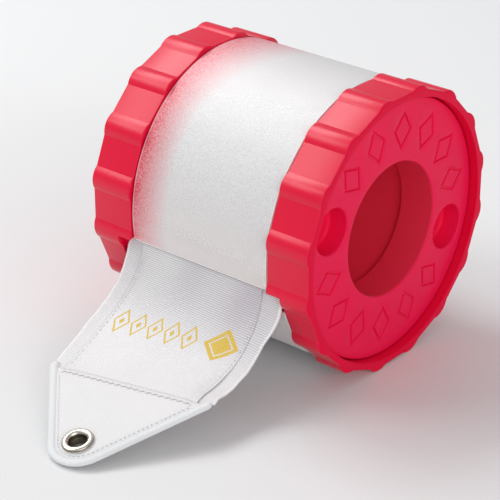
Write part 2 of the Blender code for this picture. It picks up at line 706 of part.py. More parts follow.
def make_eyelet(frame, parent):
    """Flanged barrel through patch and ribbon; its lower lip holds the washer."""
    flange_bottom = PATCH_TOP + FIT_GAP
    flange_top = flange_bottom + EYELET_FLANGE_THICKNESS
    round_off = EYELET_FLANGE_THICKNESS / 2
    profile = [(EYELET_HOLE_RADIUS, LIP_BOTTOM), (EYELET_LIP_RADIUS, LIP_BOTTOM),
               (EYELET_LIP_RADIUS, LIP_TOP), (EYELET_BARREL_RADIUS, LIP_TOP),
               (EYELET_BARREL_RADIUS, flange_bottom), (EYELET_FLANGE_RADIUS, flange_bottom),
               (EYELET_FLANGE_RADIUS, flange_top - round_off),
               (EYELET_FLANGE_RADIUS - round_off, flange_top),
               (EYELET_HOLE_RADIUS + round_off, flange_top),
               (EYELET_HOLE_RADIUS, flange_top - round_off)]
    eyelet = turned("eyelet", profile, parent, NICKEL, EYELET_SEGMENTS, 0.0)
    eyelet.matrix_local = eyelet_axis(frame)
    ring = [(EYELET_BARREL_RADIUS + FIT_GAP, WASHER_BOTTOM),
            (EYELET_FLANGE_RADIUS, WASHER_BOTTOM), (EYELET_FLANGE_RADIUS, WASHER_TOP),
            (EYELET_BARREL_RADIUS + FIT_GAP, WASHER_TOP)]
    washer = turned("eyelet_washer", ring, parent, NICKEL, EYELET_SEGMENTS, 0.0)
    washer.matrix_local = eyelet_axis(frame)
    hole = [(0.0, WASHER_BOTTOM), (EYELET_BARREL_RADIUS + FIT_GAP, WASHER_BOTTOM),
            (EYELET_BARREL_RADIUS + FIT_GAP, flange_top), (0.0, flange_top)]
    punch = turned("eyelet_punch", hole, parent, None, EYELET_SEGMENTS, 0.0)
    punch.matrix_local = eyelet_axis(frame)
    return punch


def wire(name, line, radius, resolution, parent, colour):
    """A tube with closed ends along a line of points."""
    curve = bpy.data.curves.new(name, "CURVE")
    curve.dimensions = "3D"
    curve.bevel_depth = radius
    curve.bevel_resolution = resolution
    curve.use_fill_caps = True
    spline = curve.splines.new("POLY")
    spline.points.add(len(line) - 1)
    for point, place in zip(spline.points, line):
        point.co = (*place, 1.0)
    drawn = bpy.data.objects.new(name + "_line", curve)
    bpy.context.scene.collection.objects.link(drawn)
    mesh = mesh_from_curve(drawn, name)
    smooth(mesh)
    return make_object(name, mesh, parent, colour)


def stitch_thread(name, points, ups, parent):
    """One sewing thread on top of the cloth, which rises at each stitch and dips between."""
    along = np.concatenate([[0.0], np.cumsum(np.linalg.norm(np.diff(points, axis=0), axis=1))])
    stitches = max(1, round(along[-1] / STITCH_PITCH))
    distances = np.linspace(0.0, along[-1], 2 * stitches + 1)
    spots = np.stack([np.interp(distances, along, points[:, k]) for k in range(3)], axis=1)
    raised = np.stack([np.interp(distances, along, ups[:, k]) for k in range(3)], axis=1)
    raised /= np.linalg.norm(raised, axis=1)[:, None]
    rise = THREAD_RISE * (np.arange(len(distances)) % 2)
    lift = FIT_GAP + THREAD_RADIUS + rise
    wire(name, spots + raised * lift[:, None], THREAD_RADIUS, 0, parent, WHITE_THREAD)


def make_threads(frames, parent):
    frame = frames[-1]
    up = frame[4]
    seam_half = tip_half_width(SEAM_INSET, SEAM_LINE_INSET) - STITCH_INSET
    seam = np.array([tip_place(frame, SEAM_INSET, aside, PATCH_TOP)
                     for aside in (-seam_half, seam_half)])
    stitch_thread("cross_seam_thread", seam, np.array([up, up]), parent)
    first = SEAM_INSET + STITCH_PITCH / 2
    outline = tip_outline(SEAM_LINE_INSET, first, arc_steps=8)
    points = np.array([tip_place(frame, ahead, aside, PATCH_TOP) for ahead, aside in outline])
    stitch_thread("tip_seam_thread", points, np.tile(up, (len(points), 1)), parent)
    outside = [row for row in frames if row[0] >= 0.0]
    ups = np.array([row[4] for row in outside])
    edge = HALF_RIBBON - PANEL_MARGIN - STITCH_INSET
    for word, aside in (("left", -edge), ("right", edge)):
        points = np.array([tip_place(row, 0.0, aside, PANEL_TOP) for row in outside])
        points[0] += outside[0][2] * STITCH_PITCH / 2
        points[-1] -= outside[-1][2] * STITCH_PITCH / 2
        stitch_thread(word + "_edge_thread", points, ups, parent)


def stand_on_floor(root):
    """Moves the root so that the box of all parts stands on Z = 0 with its middle at the origin."""
    bpy.context.view_layer.update()
    graph = bpy.context.evaluated_depsgraph_get()
    corners = []
    for obj in parts_collection.objects:
        if obj.type == "MESH":
            shape = obj.evaluated_get(graph)
            mesh = shape.to_mesh()
            points = np.empty(len(mesh.vertices) * 3)
            mesh.vertices.foreach_get("co", points)
            turn = np.array(obj.matrix_world)
            world = points.reshape(-1, 3) @ turn[:3, :3].T + turn[:3, 3]
            corners.append(world.min(axis=0))
            corners.append(world.max(axis=0))
            shape.to_mesh_clear()
    low = np.min(corners, axis=0)
    high = np.max(corners, axis=0)
    root.location = (0.0, -(low[1] + high[1]) / 2, -low[2])
    bpy.context.view_layer.update()
    print("reel axis at y %.5f z %.5f m" % (root.location[1], root.location[2]))


def build():
    global parts_collection, cutter_collection
    clear_scene()
    parts_collection = make_collection("ribbon_reel")
    cutter_collection = make_collection("cutters")
    # Local Z of these two empties is the spin axis, world X.
    along_axis = Matrix(((0, 0, 1, 0), (1, 0, 0, 0), (0, 1, 0, 0), (0, 0, 0, 1)))
    housing = make_empty("housing")
    ring_axis = make_empty("ring_axis", housing, along_axis)
    spool_axis = make_empty("spool_axis", housing, along_axis)

    make_grip_ring("left_grip_ring", -1, ring_axis)
    make_grip_ring("right_grip_ring", 1, ring_axis)
    make_sleeve(ring_axis)

    make_dial("left_dial", -1, spool_axis)
    make_dial("right_dial", 1, spool_axis)
    make_flange("left_roll_flange", -1, spool_axis)
    make_flange("right_roll_flange", 1, spool_axis)
    make_core_tube(spool_axis)
    make_roll(spool_axis)
    make_outer_turn(spool_axis)
    make_start_tab(spool_axis)

    tip_slope = resting_slope()
    print(f"the point slopes {tip_slope:.2f} degrees down to the table")
    frames = tail_frames(tip_slope)
    tail = make_tail(frames, housing)
    make_panel(frames, housing)
    patch = make_patch(frames[-1], housing)
    wire("tip_piping", piping_line(frames[-1]), PIPING_RADIUS, 2, housing, WHITE_RIBBON)
    punch = make_eyelet(frames[-1], housing)
    boolean(tail, punch)
    boolean(patch, punch)
    make_threads(frames, housing)
    stand_on_floor(housing)


build()
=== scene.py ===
import json
import math

import bmesh
import bpy
import numpy as np
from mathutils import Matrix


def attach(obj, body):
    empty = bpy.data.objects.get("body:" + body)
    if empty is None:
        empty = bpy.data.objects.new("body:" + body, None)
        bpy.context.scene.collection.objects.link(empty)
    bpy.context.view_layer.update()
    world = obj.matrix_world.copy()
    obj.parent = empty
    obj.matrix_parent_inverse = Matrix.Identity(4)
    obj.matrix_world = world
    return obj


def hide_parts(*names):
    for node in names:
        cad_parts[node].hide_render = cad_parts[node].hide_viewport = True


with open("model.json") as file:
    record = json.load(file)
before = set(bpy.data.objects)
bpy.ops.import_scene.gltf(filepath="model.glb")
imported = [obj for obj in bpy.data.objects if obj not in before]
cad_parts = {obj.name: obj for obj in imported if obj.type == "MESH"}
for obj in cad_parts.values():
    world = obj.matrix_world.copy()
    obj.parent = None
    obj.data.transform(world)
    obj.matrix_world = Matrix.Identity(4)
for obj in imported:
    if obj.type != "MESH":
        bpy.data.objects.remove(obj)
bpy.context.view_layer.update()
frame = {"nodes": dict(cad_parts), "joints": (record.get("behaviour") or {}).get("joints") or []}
print("frame loaded")

# Shapes are in millimetres and degrees, and makePiece turns them into metres.
# X is the axle. Angles round it run from +Y towards +Z, so 180 is the front.
axleY, axleZ = (1000.0 * value for value in frame["joints"][0]["pos_m"][1:])
ribbonWidth = 50.0
bothSides = (("left", -1.0), ("right", 1.0))


# ---- mesh helpers

# numbers or arrays spread to one shape, side by side in a new last direction
def stacked(*parts):
    return np.stack(np.broadcast_arrays(*parts), axis=-1)


# a place at this radius and angle round the axle, and this far along it
def aroundAxle(radius, angle, along):
    angle = np.radians(angle)
    return stacked(along, axleY + radius * np.cos(angle), axleZ + radius * np.sin(angle))


# quads from every point of a grid to the next one in its row and in its column
def gridFaces(grid, wrapRows=False, wrapColumns=False):
    rows, columns = grid.shape[:2]
    row = np.arange(rows if wrapRows else rows - 1)[:, None]
    column = np.arange(columns if wrapColumns else columns - 1)[None, :]
    nextRow, nextColumn = (row + 1) % rows, (column + 1) % columns
    row, nextRow = row * columns, nextRow * columns
    return stacked(row + column, row + nextColumn, nextRow + nextColumn,
                   nextRow + column).reshape(-1, 4)


# the first and the last row of a tube's grid, as the faces that close it
def tubeCaps(grid):
    count, around = grid.shape[:2]
    return [list(range(around)), list(range((count - 1) * around, count * around))]


# numbers and rows of numbers side by side, one row of them for each angle
def sideBySide(angle, items):
    return np.hstack([angle * 0.0 + item for item in items])


# how far along its way each point is, from one row of numbers for each direction
def runningLength(*ways):
    steps = np.sqrt(sum(np.diff(way) ** 2 for way in ways))
    return np.hstack([0.0, np.cumsum(steps)])


# from -1 to 1 in steps that get smaller towards both ends, the more so for a larger share
def closerAtEnds(count, share):
    reach = math.pi / 2 * share
    return np.sin(np.linspace(-1.0, 1.0, count) * reach) / math.sin(reach)


# cloth's own map, in ribbon widths
def clothMap(aside, along):
    return stacked(0.5 + aside / ribbonWidth, along / ribbonWidth)


# cloth's area, from half its width all along it
def clothArea(half, along):
    return float(np.sum((half[1:] + half[:-1]) * np.diff(along)))


# a soft bump of height one at this value
def bumpAt(value, at, width):
    return np.exp(-((value - at) / width) ** 2)


def addObject(name, data):
    thing = bpy.data.objects.new(name, data)
    bpy.context.scene.collection.objects.link(thing)
    return thing


def makePiece(name, points, faces, material, body, uv=None, weld=False, caps=(), crease=35.0):
    mesh = bpy.data.meshes.new(name)
    mesh.from_pydata((points.reshape(-1, 3) * 0.001).tolist(), [],
                     [list(face) for face in faces] + [list(cap) for cap in caps])
    if uv is not None:
        layer = mesh.uv_layers.new(name="cloth")
        corner = np.empty(len(mesh.loops), int)
        mesh.loops.foreach_get("vertex_index", corner)
        layer.data.foreach_set("uv", uv.reshape(-1, 2)[corner].astype(np.float32).ravel())
    if weld:
        form = bmesh.new()
        form.from_mesh(mesh)
        bmesh.ops.remove_doubles(form, verts=form.verts, dist=2e-6)
        bmesh.ops.recalc_face_normals(form, faces=form.faces)
        form.to_mesh(mesh)
        form.free()
    mesh.shade_smooth()
    mesh.set_sharp_from_angle(angle=math.radians(crease))
    mesh.materials.append(material)
    piece = addObject(name, mesh)
    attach(piece, body)
    return piece


# a second material, on the faces that pass a test
def paintFaces(piece, material, passes):
    piece.data.materials.append(material)
    for face in piece.data.polygons:
        if passes(face):
            face.material_index = 1


def thicken(piece, thickness):
    step = piece.modifiers.new("thickness", "SOLIDIFY")
    step.thickness = thickness * 0.001
    step.offset = 0.0
    step.use_even_offset = True


# how far a quarter round of size one cuts in (across, along), from the side wall to the end
def quarterRound(steps):
    turn = np.radians(np.linspace(0.0, 90.0, steps + 1))
    return 1.0 - np.cos(turn), 1.0 - np.sin(turn)


# 0 before the start, 1 after the end, smooth between them
def rise(value, start, end):
    share = np.clip((value - start) / (end - start), 0.0, 1.0)
    return share * share * (3.0 - 2.0 * share)


# ---- material helpers

def addNode(tree, kind, sockets=(), **settings):
    node = tree.nodes.new(kind)
    for word, value in settings.items():
        setattr(node, word, value)
    for place, value in dict(sockets).items():
        feed(node.inputs[place], value)
    return [Value(socket) for socket in node.outputs]


# a node's output. Sums, products and the like of it become Math nodes beside it.
class Value:
    def __init__(self, socket):
        self.socket = socket
        self.tree = socket.id_data

    def calc(self, operation, *others):
        return addNode(self.tree, "ShaderNodeMath", dict(enumerate((self, *others))),
                       operation=operation)[0]

    def __add__(self, other):
        return self.calc("ADD", other)

    def __sub__(self, other):
        return self.calc("SUBTRACT", other)

    def __rsub__(self, other):
        return self.calc("MULTIPLY_ADD", -1.0, other)

    def __mul__(self, other):
        return self.calc("MULTIPLY", other)

    def __truediv__(self, other):
        return self.calc("DIVIDE", other)

    def __abs__(self):
        return self.calc("ABSOLUTE")

    def below(self, limit):
        return self.calc("LESS_THAN", limit)

    # a sine wave that repeats after this length
    def wave(self, length):
        return (self * (math.tau / length)).calc("SINE")

    # moved from one range to another, and held inside it
    def spread(self, low, high, newLow, newHigh):
        return addNode(self.tree, "ShaderNodeMapRange",
                       {0: self, 1: low, 2: high, 3: newLow, 4: newHigh})[0]


def feed(socket, value):
    if isinstance(value, Value):
        value.tree.links.new(value.socket, socket)
    else:
        socket.default_value = (*value, 1.0) if socket.type == "RGBA" else value


def mixColor(share, first, second):
    return addNode(share.tree, "ShaderNodeMix", {0: share, 6: first, 7: second},
                   data_type="RGBA")[2]


# a colour times a value of its own for red and blue, and one for green
def shadeColor(color, shade, green):
    grey = addNode(shade.tree, "ShaderNodeCombineColor", {0: shade, 1: green, 2: shade})[0]
    return addNode(shade.tree, "ShaderNodeMix", {0: 1.0, 6: color, 7: grey},
                   data_type="RGBA", blend_type="MULTIPLY")[2]


def noise(where, scale, detail=2.0, roughness=0.5):
    return addNode(where.tree, "ShaderNodeTexNoise",
                   {"Vector": where, "Scale": scale, "Detail": detail,
                    "Roughness": roughness})[0]


def bumpFrom(height, strength, distance=0.0001):
    return addNode(height.tree, "ShaderNodeBump",
                   {"Height": height, "Strength": strength, "Distance": distance})[0]


# a material, and the inputs of its shader
def newMaterial(name, color, roughness, **sockets):
    material = bpy.data.materials.new(name)
    material.use_nodes = True
    shader = material.node_tree.nodes["Principled BSDF"].inputs
    feed(shader["Base Color"], color)
    feed(shader["Roughness"], roughness)
    for word, value in sockets.items():
        feed(shader[word.replace("_", " ")], value)
    return material, shader


def objectPlace(material):
    return Value(material.node_tree.nodes.new("ShaderNodeTexCoord").outputs["Object"])


def splitPlace(where):
    return addNode(where.tree, "ShaderNodeSeparateXYZ", {0: where})


# the piece's own map, whole and in its two parts
def mapPlace(material):
    where = addNode(material.node_tree, "ShaderNodeUVMap", uv_map="cloth")[0]
    return where, *splitPlace(where)[:2]


def toned(color, share):
    return tuple(value * share for value in color)


# ---- finishes

# moulded plastic: a slow unevenness of colour and gloss, and a fine mould grain
def mouldedRed(name, color, gloss, shine, grain, bump):
    material, shader = newMaterial(name, color, gloss, Specular_IOR_Level=shine)
    where = objectPlace(material)
    slow, fine = noise(where, 55.0, 3.0, 0.55), noise(where, grain, 2.0, 0.6)
    feed(shader["Base Color"], mixColor(slow, toned(color, 0.90), color))
    feed(shader["Roughness"], fine * 0.06 + (slow * 0.10 + (gloss - 0.05)))
    feed(shader["Normal"], bumpFrom(fine, bump))
    return material


# milky sheet with a glittering grain. Its map is how far a place is from its left end and
# from its slit, in ribbon widths. A painted red glow, for red light from inside, shows near the
# left end, the more the further from the slit. Its far side is greyer, as painted shade, it is
# darker and warmer near the slit, as painted warm shade, and the left one of its pale cuts is
# painted pink, as painted red light from the ring.
def frostedSheet():
    # the red glow, the far-side grey, the warm front and the pink cut below are painted light and
    # shade
    look = dict(color=(0.97, 0.97, 0.975), paintedRedGlow=(0.86, 0.09, 0.14), back=(0.73, 0.70, 0.71),
                front=(0.92, 0.86, 0.85), pale=(0.99, 0.97, 0.96), paintedPinkCut=(0.92, 0.52, 0.57),
                gloss=0.62, clear=0.40, cutClear=0.10, grain=2300.0, fleck=3000.0, reach=12.0,
                farReach=22.0, topFrom=40.0, topTo=76.0, wide=45.7, cut=0.28)
    material, shader = newMaterial("frostedSheet", look["color"], look["gloss"],
                                   Transmission_Weight=look["clear"], IOR=1.35,
                                   Specular_IOR_Level=0.08)
    where = objectPlace(material)
    _, fromLeft, fromSlit = mapPlace(material)
    cutWidth = look["cut"] / ribbonWidth
    fromRight = look["wide"] / ribbonWidth - fromLeft
    cut = fromLeft.calc("MINIMUM", fromRight).calc("MINIMUM", fromSlit).below(cutWidth)
    grain = noise(where, look["grain"], 1.0)
    top = fromSlit.spread(look["topFrom"] / ribbonWidth, look["topTo"] / ribbonWidth, 0.0, 1.0)
    reach = top.spread(0.0, 1.0, look["reach"] / ribbonWidth, look["farReach"] / ribbonWidth)
    # painted red glow: red light from inside, painted near the left end, stronger further from
    # the slit
    paintedRedGlow = (1.0 - fromLeft / reach).calc("MAXIMUM", 0.0).calc("POWER", 1.15) * 1.1
    paintedRedGlow = paintedRedGlow * fromSlit.spread(0.0, 0.2, 0.8, 1.0) * grain.spread(0.38, 0.60, 0.70, 1.12)
    fleck = noise(where, look["fleck"], 1.0, 0.6).spread(0.38, 0.58, 0.0, 1.0)
    color = mixColor(fleck, toned(look["color"], 0.82), look["color"])
    # painted shade: greyer towards the far side, which also tones down the highlight there
    color = mixColor(top.spread(0.0, 0.4, 0.0, 0.65), color, look["back"])
    # painted warm shade: darker and warmer near the slit
    color = mixColor(fromSlit.spread(0.06, 0.52, 0.8, 0.0), color, look["front"])
    color = mixColor(paintedRedGlow, color, look["paintedRedGlow"])
    # the left cut is painted pink, as painted red light from the ring beside it
    edgeColor = mixColor(fromLeft.below(cutWidth), look["pale"], look["paintedPinkCut"])
    feed(shader["Base Color"], mixColor(cut, color, edgeColor))
    feed(shader["Transmission Weight"],
         cut * (look["cutClear"] - look["clear"]) + look["clear"])
    feed(shader["Roughness"], noise(where, 120.0, 3.0, 0.6) * 0.08 + (look["gloss"] - 0.04))
    feed(shader["Normal"], bumpFrom(grain, 0.22))
    return material


# satin: ribs across the ribbon and finer ones along it, from its own map in ribbon widths.
# The ribs are a woven pattern, painted darker near the slit as painted shade, fading along it
# to a share of that. Painted fold shade darkens it near the slit, more on its right, tinted
# lavender. It may have a stitched selvedge and a print.
def wovenCloth(name, color, gloss, sheen, ribPitch, warpPitch, contrast, bump, paintedRibShade, folds,
               selvedge=None, band=None):
    material, shader = newMaterial(name, color, gloss, Sheen_Weight=sheen,
                                   Sheen_Roughness=0.4, Specular_IOR_Level=0.35)
    cloth, across, along = mapPlace(material)
    ribs = noise(cloth, 9.0).calc("MULTIPLY_ADD", 0.004, along).wave(ribPitch / ribbonWidth)
    height = noise(cloth, 420.0, 2.0, 0.7) * 0.8 + (
        across.wave(warpPitch / ribbonWidth) * 0.35 + ribs)
    slow = noise(cloth, 5.0, 3.0, 0.55)
    start, end, least = paintedRibShade
    # woven ribs, with painted shade that is strongest near the slit
    dark = height.spread(-1.2, 1.6, contrast, 0.0) * along.spread(
        start / ribbonWidth, end / ribbonWidth, 1.0, least)
    dark = dark + slow.spread(0.3, 0.7, 0.03, 0.0)
    # painted fold shade near the slit: darker bands, darker to the right, with less green
    paintedFoldShade = (across * 17.0 + along * 3.0).calc("SINE") * 0.30
    paintedFoldShade = paintedFoldShade + across.spread(0.1, 0.9, 0.0, 1.3)
    paintedFoldShade = paintedFoldShade * along.spread(6.0 / ribbonWidth, 20.0 / ribbonWidth, folds, 0.0)
    shade = 1.0 - (dark + paintedFoldShade)
    tint = shadeColor(color, shade, paintedFoldShade * -0.30 + shade)
    if selvedge:
        bound = abs(across - 0.5).calc("GREATER_THAN", 0.5 - selvedge["width"] / ribbonWidth)
        teeth = along.wave(selvedge["pitch"] / ribbonWidth).spread(-1.0, 1.0, 0.65, 1.0)
        tint = mixColor(bound * teeth, tint, selvedge["color"])
    if band:
        tint = printedBand(tint, cloth, across, along, band)
    feed(shader["Base Color"], tint)
    feed(shader["Roughness"], slow * 0.12 + (gloss - 0.06))
    feed(shader["Normal"], bumpFrom(height, bump, 0.00006))
    return material


# a generic gold band, a little aslant on the ribbon: a row of outlined lozenges with a
# filled heart each, that ends in a large filled one with a fine gap in it
def printedBand(color, cloth, across, along, band):
    aside = (across - 0.5) * ribbonWidth
    tall = abs(aside * band["slant"] + (along * ribbonWidth - band["middle"]))
    half = band["pitch"] / 2
    inRow = abs(aside - band["rowMiddle"]).below(half * band["count"])
    # whole cells are added, so that the count starts left of the ribbon's edge
    cell = aside - (band["rowMiddle"] - half * (40 + band["count"] % 2))
    lean = (half - cell.calc("PINGPONG", half)) * (1.0 / (0.46 * band["pitch"]))
    lean = lean + tall * (2.0 / band["height"])
    row = abs(lean - 0.88).below(0.11).calc("MAXIMUM", lean.below(0.28)) * inRow
    lean = abs(aside - band["endMiddle"]) * (2.0 / band["endWidth"])
    lean = lean + tall * (2.0 / band["endHeight"])
    end = lean.below(1.0) - abs(lean - 0.66).below(0.05)
    worn = noise(cloth, 330.0).spread(0.35, 0.6, 0.80, 1.0)
    return mixColor(row.calc("MAXIMUM", end) * worn, color, band["color"])


# plated metal with a slightly dull, uneven bloom
def platedMetal(name, color, gloss):
    material, shader = newMaterial(name, color, gloss, Metallic=1.0)
    bloom = noise(objectPlace(material), 900.0, 3.0, 0.6)
    feed(shader["Roughness"], bloom.spread(0.3, 0.7, gloss - 0.06, gloss + 0.06))
    feed(shader["Base Color"], mixColor(bloom, toned(color, 0.93), color))
    feed(shader["Normal"], bumpFrom(bloom, 0.12))
    return material


# twisted thread: slanting ply lines from the stitch's own map
def twistedThread():
    material, shader = newMaterial("twistedThread", (0.80, 0.80, 0.82), 0.6, Sheen_Weight=0.3)
    _, along, around = mapPlace(material)
    ply = (along + around * 3.0).wave(0.5)
    feed(shader["Base Color"], mixColor(ply.spread(-1.0, 1.0, 0.0, 1.0), (0.66, 0.67, 0.70),
                                        (0.87, 0.87, 0.88)))
    feed(shader["Normal"], bumpFrom(ply, 0.5))
    return material


gripRed = mouldedRed("gripRed", color=(0.80, 0.001, 0.040), gloss=0.28, shine=0.40,
                     grain=2200.0, bump=0.10)
gripEndRed = mouldedRed("gripEndRed", color=(0.80, 0.001, 0.045), gloss=0.45, shine=0.10,
                        grain=2200.0, bump=0.10)
dialRed = mouldedRed("dialRed", color=(0.89, 0.007, 0.075), gloss=0.42, shine=0.14,
                     grain=3000.0, bump=0.14)
# a darker, duller red than the dial's: painted shade for the bore and the core inside it
coreRedPaintedShade = mouldedRed("coreRedPaintedShade", color=(0.80, 0.028, 0.070), gloss=0.50, shine=0.15,
                     grain=1800.0, bump=0.08)
frosted = frostedSheet()
goldBand = dict(middle=18.5, slant=0.20, pitch=5.2, height=8.0, count=5, rowMiddle=-5.7,
                endMiddle=14.0, endWidth=10.2, endHeight=9.8, color=(0.74, 0.50, 0.03))
satin = dict(gloss=0.46, sheen=0.2, ribPitch=0.585, warpPitch=0.46, bump=0.60)
coarse = dict(sheen=0.1, paintedRibShade=(0.0, 10.0, 1.0), folds=0.0)
ribbonCloth = wovenCloth("ribbonCloth", color=(0.84, 0.84, 0.85), contrast=0.36,
                         paintedRibShade=(8.0, 24.0, 0.45), folds=0.05, **satin, selvedge=dict(
                             width=0.55, pitch=0.9, color=(0.90, 0.88, 0.89)))
panelCloth = wovenCloth("panelCloth", color=(0.87, 0.868, 0.877), contrast=0.44,
                        paintedRibShade=(9.0, 22.0, 0.30), folds=0.08, **satin, band=goldBand)
patchCloth = wovenCloth("patchCloth", color=(0.83, 0.83, 0.83), gloss=0.62, ribPitch=0.55,
                        warpPitch=0.50, contrast=0.09, bump=0.25, **coarse)
bindingCloth = wovenCloth("bindingCloth", color=(0.80, 0.82, 0.83), gloss=0.60, ribPitch=0.60,
                          warpPitch=0.55, contrast=0.06, bump=0.18, **coarse)
nickel = platedMetal("nickelPlate", (0.70, 0.665, 0.58), 0.34)
# dark nickel: painted shade for the eyelet's steep walls in its hole and round its edge
nickelPaintedShade = platedMetal("nickelPaintedShade", (0.27, 0.235, 0.18), 0.30)
thread = twistedThread()
print("finishes made")


# ---- camera, floor and lamps

cameraData = bpy.data.cameras.new("photoView")
cameraData.sensor_width, cameraData.lens, cameraData.clip_start = 36.0, 141.98, 0.01
photoView = addObject("photoView", cameraData)
photoView.location = (0.30215, axleY * 0.001 - 0.37856, axleZ * 0.001 + 0.22752)
photoView.rotation_euler = [math.radians(value) for value in (63.195, 0.0, 39.870)]
bpy.context.scene.camera = photoView


# a wide round floor, its rings closer together near the middle, painted a little paler behind as
# painted light
def makeFloor():
    floor = dict(reach=6.0, color=(0.79, 0.797, 0.80), paintedLitBehind=(0.88, 0.887, 0.89), gloss=0.55,
                 paleFrom=0.0, paleTo=0.12)
    radius = np.hstack([0.0, np.geomspace(0.05, floor["reach"], 24)])[:, None]
    angle = np.radians(np.arange(0.0, 360.0, 5.0))[None, :]
    points = stacked(radius * np.cos(angle), radius * np.sin(angle), 0.0)
    material, shader = newMaterial("paleFloor", floor["color"], floor["gloss"],
                                   Specular_IOR_Level=0.4)
    where = objectPlace(material)
    # painted light: the floor's colour grows paler towards the back
    share = splitPlace(where)[1].spread(floor["paleFrom"], floor["paleTo"], 0.0, 1.0)
    share = noise(where, 1.5) * 0.1 + share
    feed(shader["Base Color"], mixColor(share, floor["color"], floor["paintedLitBehind"]))
    mesh = bpy.data.meshes.new("floor")
    mesh.from_pydata(points.reshape(-1, 3).tolist(), [],
                     gridFaces(points, wrapColumns=True)[:, ::-1].tolist())
    mesh.materials.append(material)
    addObject("floor", mesh)


# a soft lamp that is turned to the reel
def makeLamp(name, place, size, power, color=(1.0, 1.0, 1.0)):
    data = bpy.data.lights.new(name, "AREA")
    data.shape = "RECTANGLE"
    data.size, data.size_y = size
    data.energy = power
    data.color = color
    lamp = addObject(name, data)
    lamp.location = place
    aim = np.array([0.0, 0.0, 0.03]) - np.array(place)
    lamp.rotation_euler = (math.atan2(math.hypot(aim[0], aim[1]), -aim[2]), 0.0,
                           math.atan2(aim[1], aim[0]) - math.pi / 2)


makeFloor()
makeLamp("softLeftOverhead", (-0.58, 0.11, 0.82), (0.50, 0.34), 3.5)
makeLamp("softLeftFront", (-0.58, -0.42, 0.71), (0.50, 0.42), 2.9)
makeLamp("softFront", (0.86, -0.46, 0.42), (0.7, 0.5), 3.8, (1.0, 0.97, 0.97))
world = bpy.data.worlds.new("paleRoom")
world.use_nodes = True
background = world.node_tree.nodes["Background"].inputs
feed(background["Color"], (0.98, 0.985, 1.0))
feed(background["Strength"], 0.46)
bpy.context.scene.world = world
bpy.context.scene.view_settings.view_transform = "Standard"
print("camera, floor and lamps made")


# ---- grip rings

# Each zone is a start and an end angle, where the spigot starts, its radius, and where the
# band starts: the plain part, the ribbon's passage, and the notch for the ribbon's end.
ring = dict(ribs=16, facet=38.1, ribCentre=34.4, ribRound=5.0, bore=36.2, shoulder=35.0,
            shoulderFrom=28.1, shoulderTo=29.3, shoulderRound=0.1, face=36.7, startRound=0.22,
            endRound=0.45, recessRound=0.18, ribSteps=15, facetSteps=7, leastStep=0.15,
            zones=[(287.5, 542.5, 20.95, 37.0, 23.35), (182.5, 190.0, 25.35, 37.1, 23.35),
                   (190.0, 287.5, 25.35, 36.9, 27.75)])


# the facet's straight line, or where it stands higher the rib's circle
def gripOutline(angle):
    pitch = 360.0 / ring["ribs"]
    fromRib = np.radians(np.mod(angle, pitch) - pitch / 2)
    fromFacet = np.radians(np.mod(angle + pitch / 2, pitch) - pitch / 2)
    facet = ring["facet"] / np.cos(fromFacet)
    half = ring["ribRound"] ** 2 - (ring["ribCentre"] * np.sin(fromRib)) ** 2
    rib = ring["ribCentre"] * np.cos(fromRib) + np.sqrt(np.maximum(half, 0.0))
    return np.maximum(facet, np.where(half > 0.0, rib, 0.0))


# angles of the ring's columns: close together on each rib, and with a point on each crease
def gripColumns(start, end):
    pitch = 360.0 / ring["ribs"]
    lift = math.acos((ring["facet"] - ring["ribCentre"] * math.cos(math.radians(pitch / 2)))
                     / ring["ribRound"]) + math.radians(pitch / 2)
    crease = math.degrees(math.atan2(ring["ribRound"] * math.sin(lift),
                                     ring["ribCentre"] + ring["ribRound"] * math.cos(lift)))
    one = np.hstack([np.linspace(-crease, crease, ring["ribSteps"]),
                     np.linspace(crease, pitch - crease, ring["facetSteps"])[1:-1]])
    one = one + pitch / 2
    every = (one[None, :] + np.arange(-2, 2 * ring["ribs"])[:, None] * pitch).ravel()
    inside = every[(every > start + ring["leastStep"]) & (every < end - ring["leastStep"])]
    return np.hstack([[start], inside, [end]])


# the section at each angle, once round: spigot, edge of the band, ribs, end face, recess,
# shoulder. The end face is duller.
def makeGripRing(name, side):
    across, along = quarterRound(4)
    early, late, recess = ring["startRound"], ring["endRound"], ring["recessRound"]
    bore, face, low = ring["bore"], ring["face"], ring["shoulder"]
    back, front, edge = ring["shoulderFrom"], ring["shoulderTo"], ring["shoulderRound"]
    columns = []
    for start, end, tubeFrom, tube, bandFrom in ring["zones"]:
        angle = gripColumns(start, end)[:, None]
        outer = gripOutline(angle)
        radius = sideBySide(angle, [
            bore, tube, tube, outer - early * along, outer - late * across,
            bore + recess * along, bore, low + edge, low, low, low + edge, bore])
        place = sideBySide(angle, [
            tubeFrom, tubeFrom, bandFrom, bandFrom + early * across,
            face - late * along, face - recess * across, front, front,
            front - edge, back + edge, back, back])
        columns.append(aroundAxle(radius, angle, side * place))
    points = np.vstack(columns)
    piece = makePiece(name, points, gridFaces(points, True, True), gripRed, "housing",
                      weld=True, crease=20.0)
    paintFaces(piece, gripEndRed, lambda polygon: abs(polygon.center.x) * 1000.0 > face - 0.2)
    return piece


for word, side in bothSides:
    piece = makeGripRing(word + "Grip", side)
    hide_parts(word + "_grip_ring")
print("grip rings made")


# ---- dials

dial = dict(face=34.2, rim=35.9, bore=18.5, edgeRound=0.5, rimEnd=29.6, rimInner=33.9,
            plateBack=32.2, hub=20.6, hubEnd=27.3, plug=19.4, plugEnd=24.0, cupAngle=161.0,
            cupCentre=27.2, cup=6.25, cupLip=0.5, cupFloor=28.3, floorRound=0.9, cupBack=6.55,
            cupSpan=36.0, cupSteps=18, diamonds=6, diamondSpan=24.0, diamondSteps=12,
            diamondWidth=8.0, diamondHeight=10.8, sideSteps=12, groove=0.9, grooveDepth=0.5)


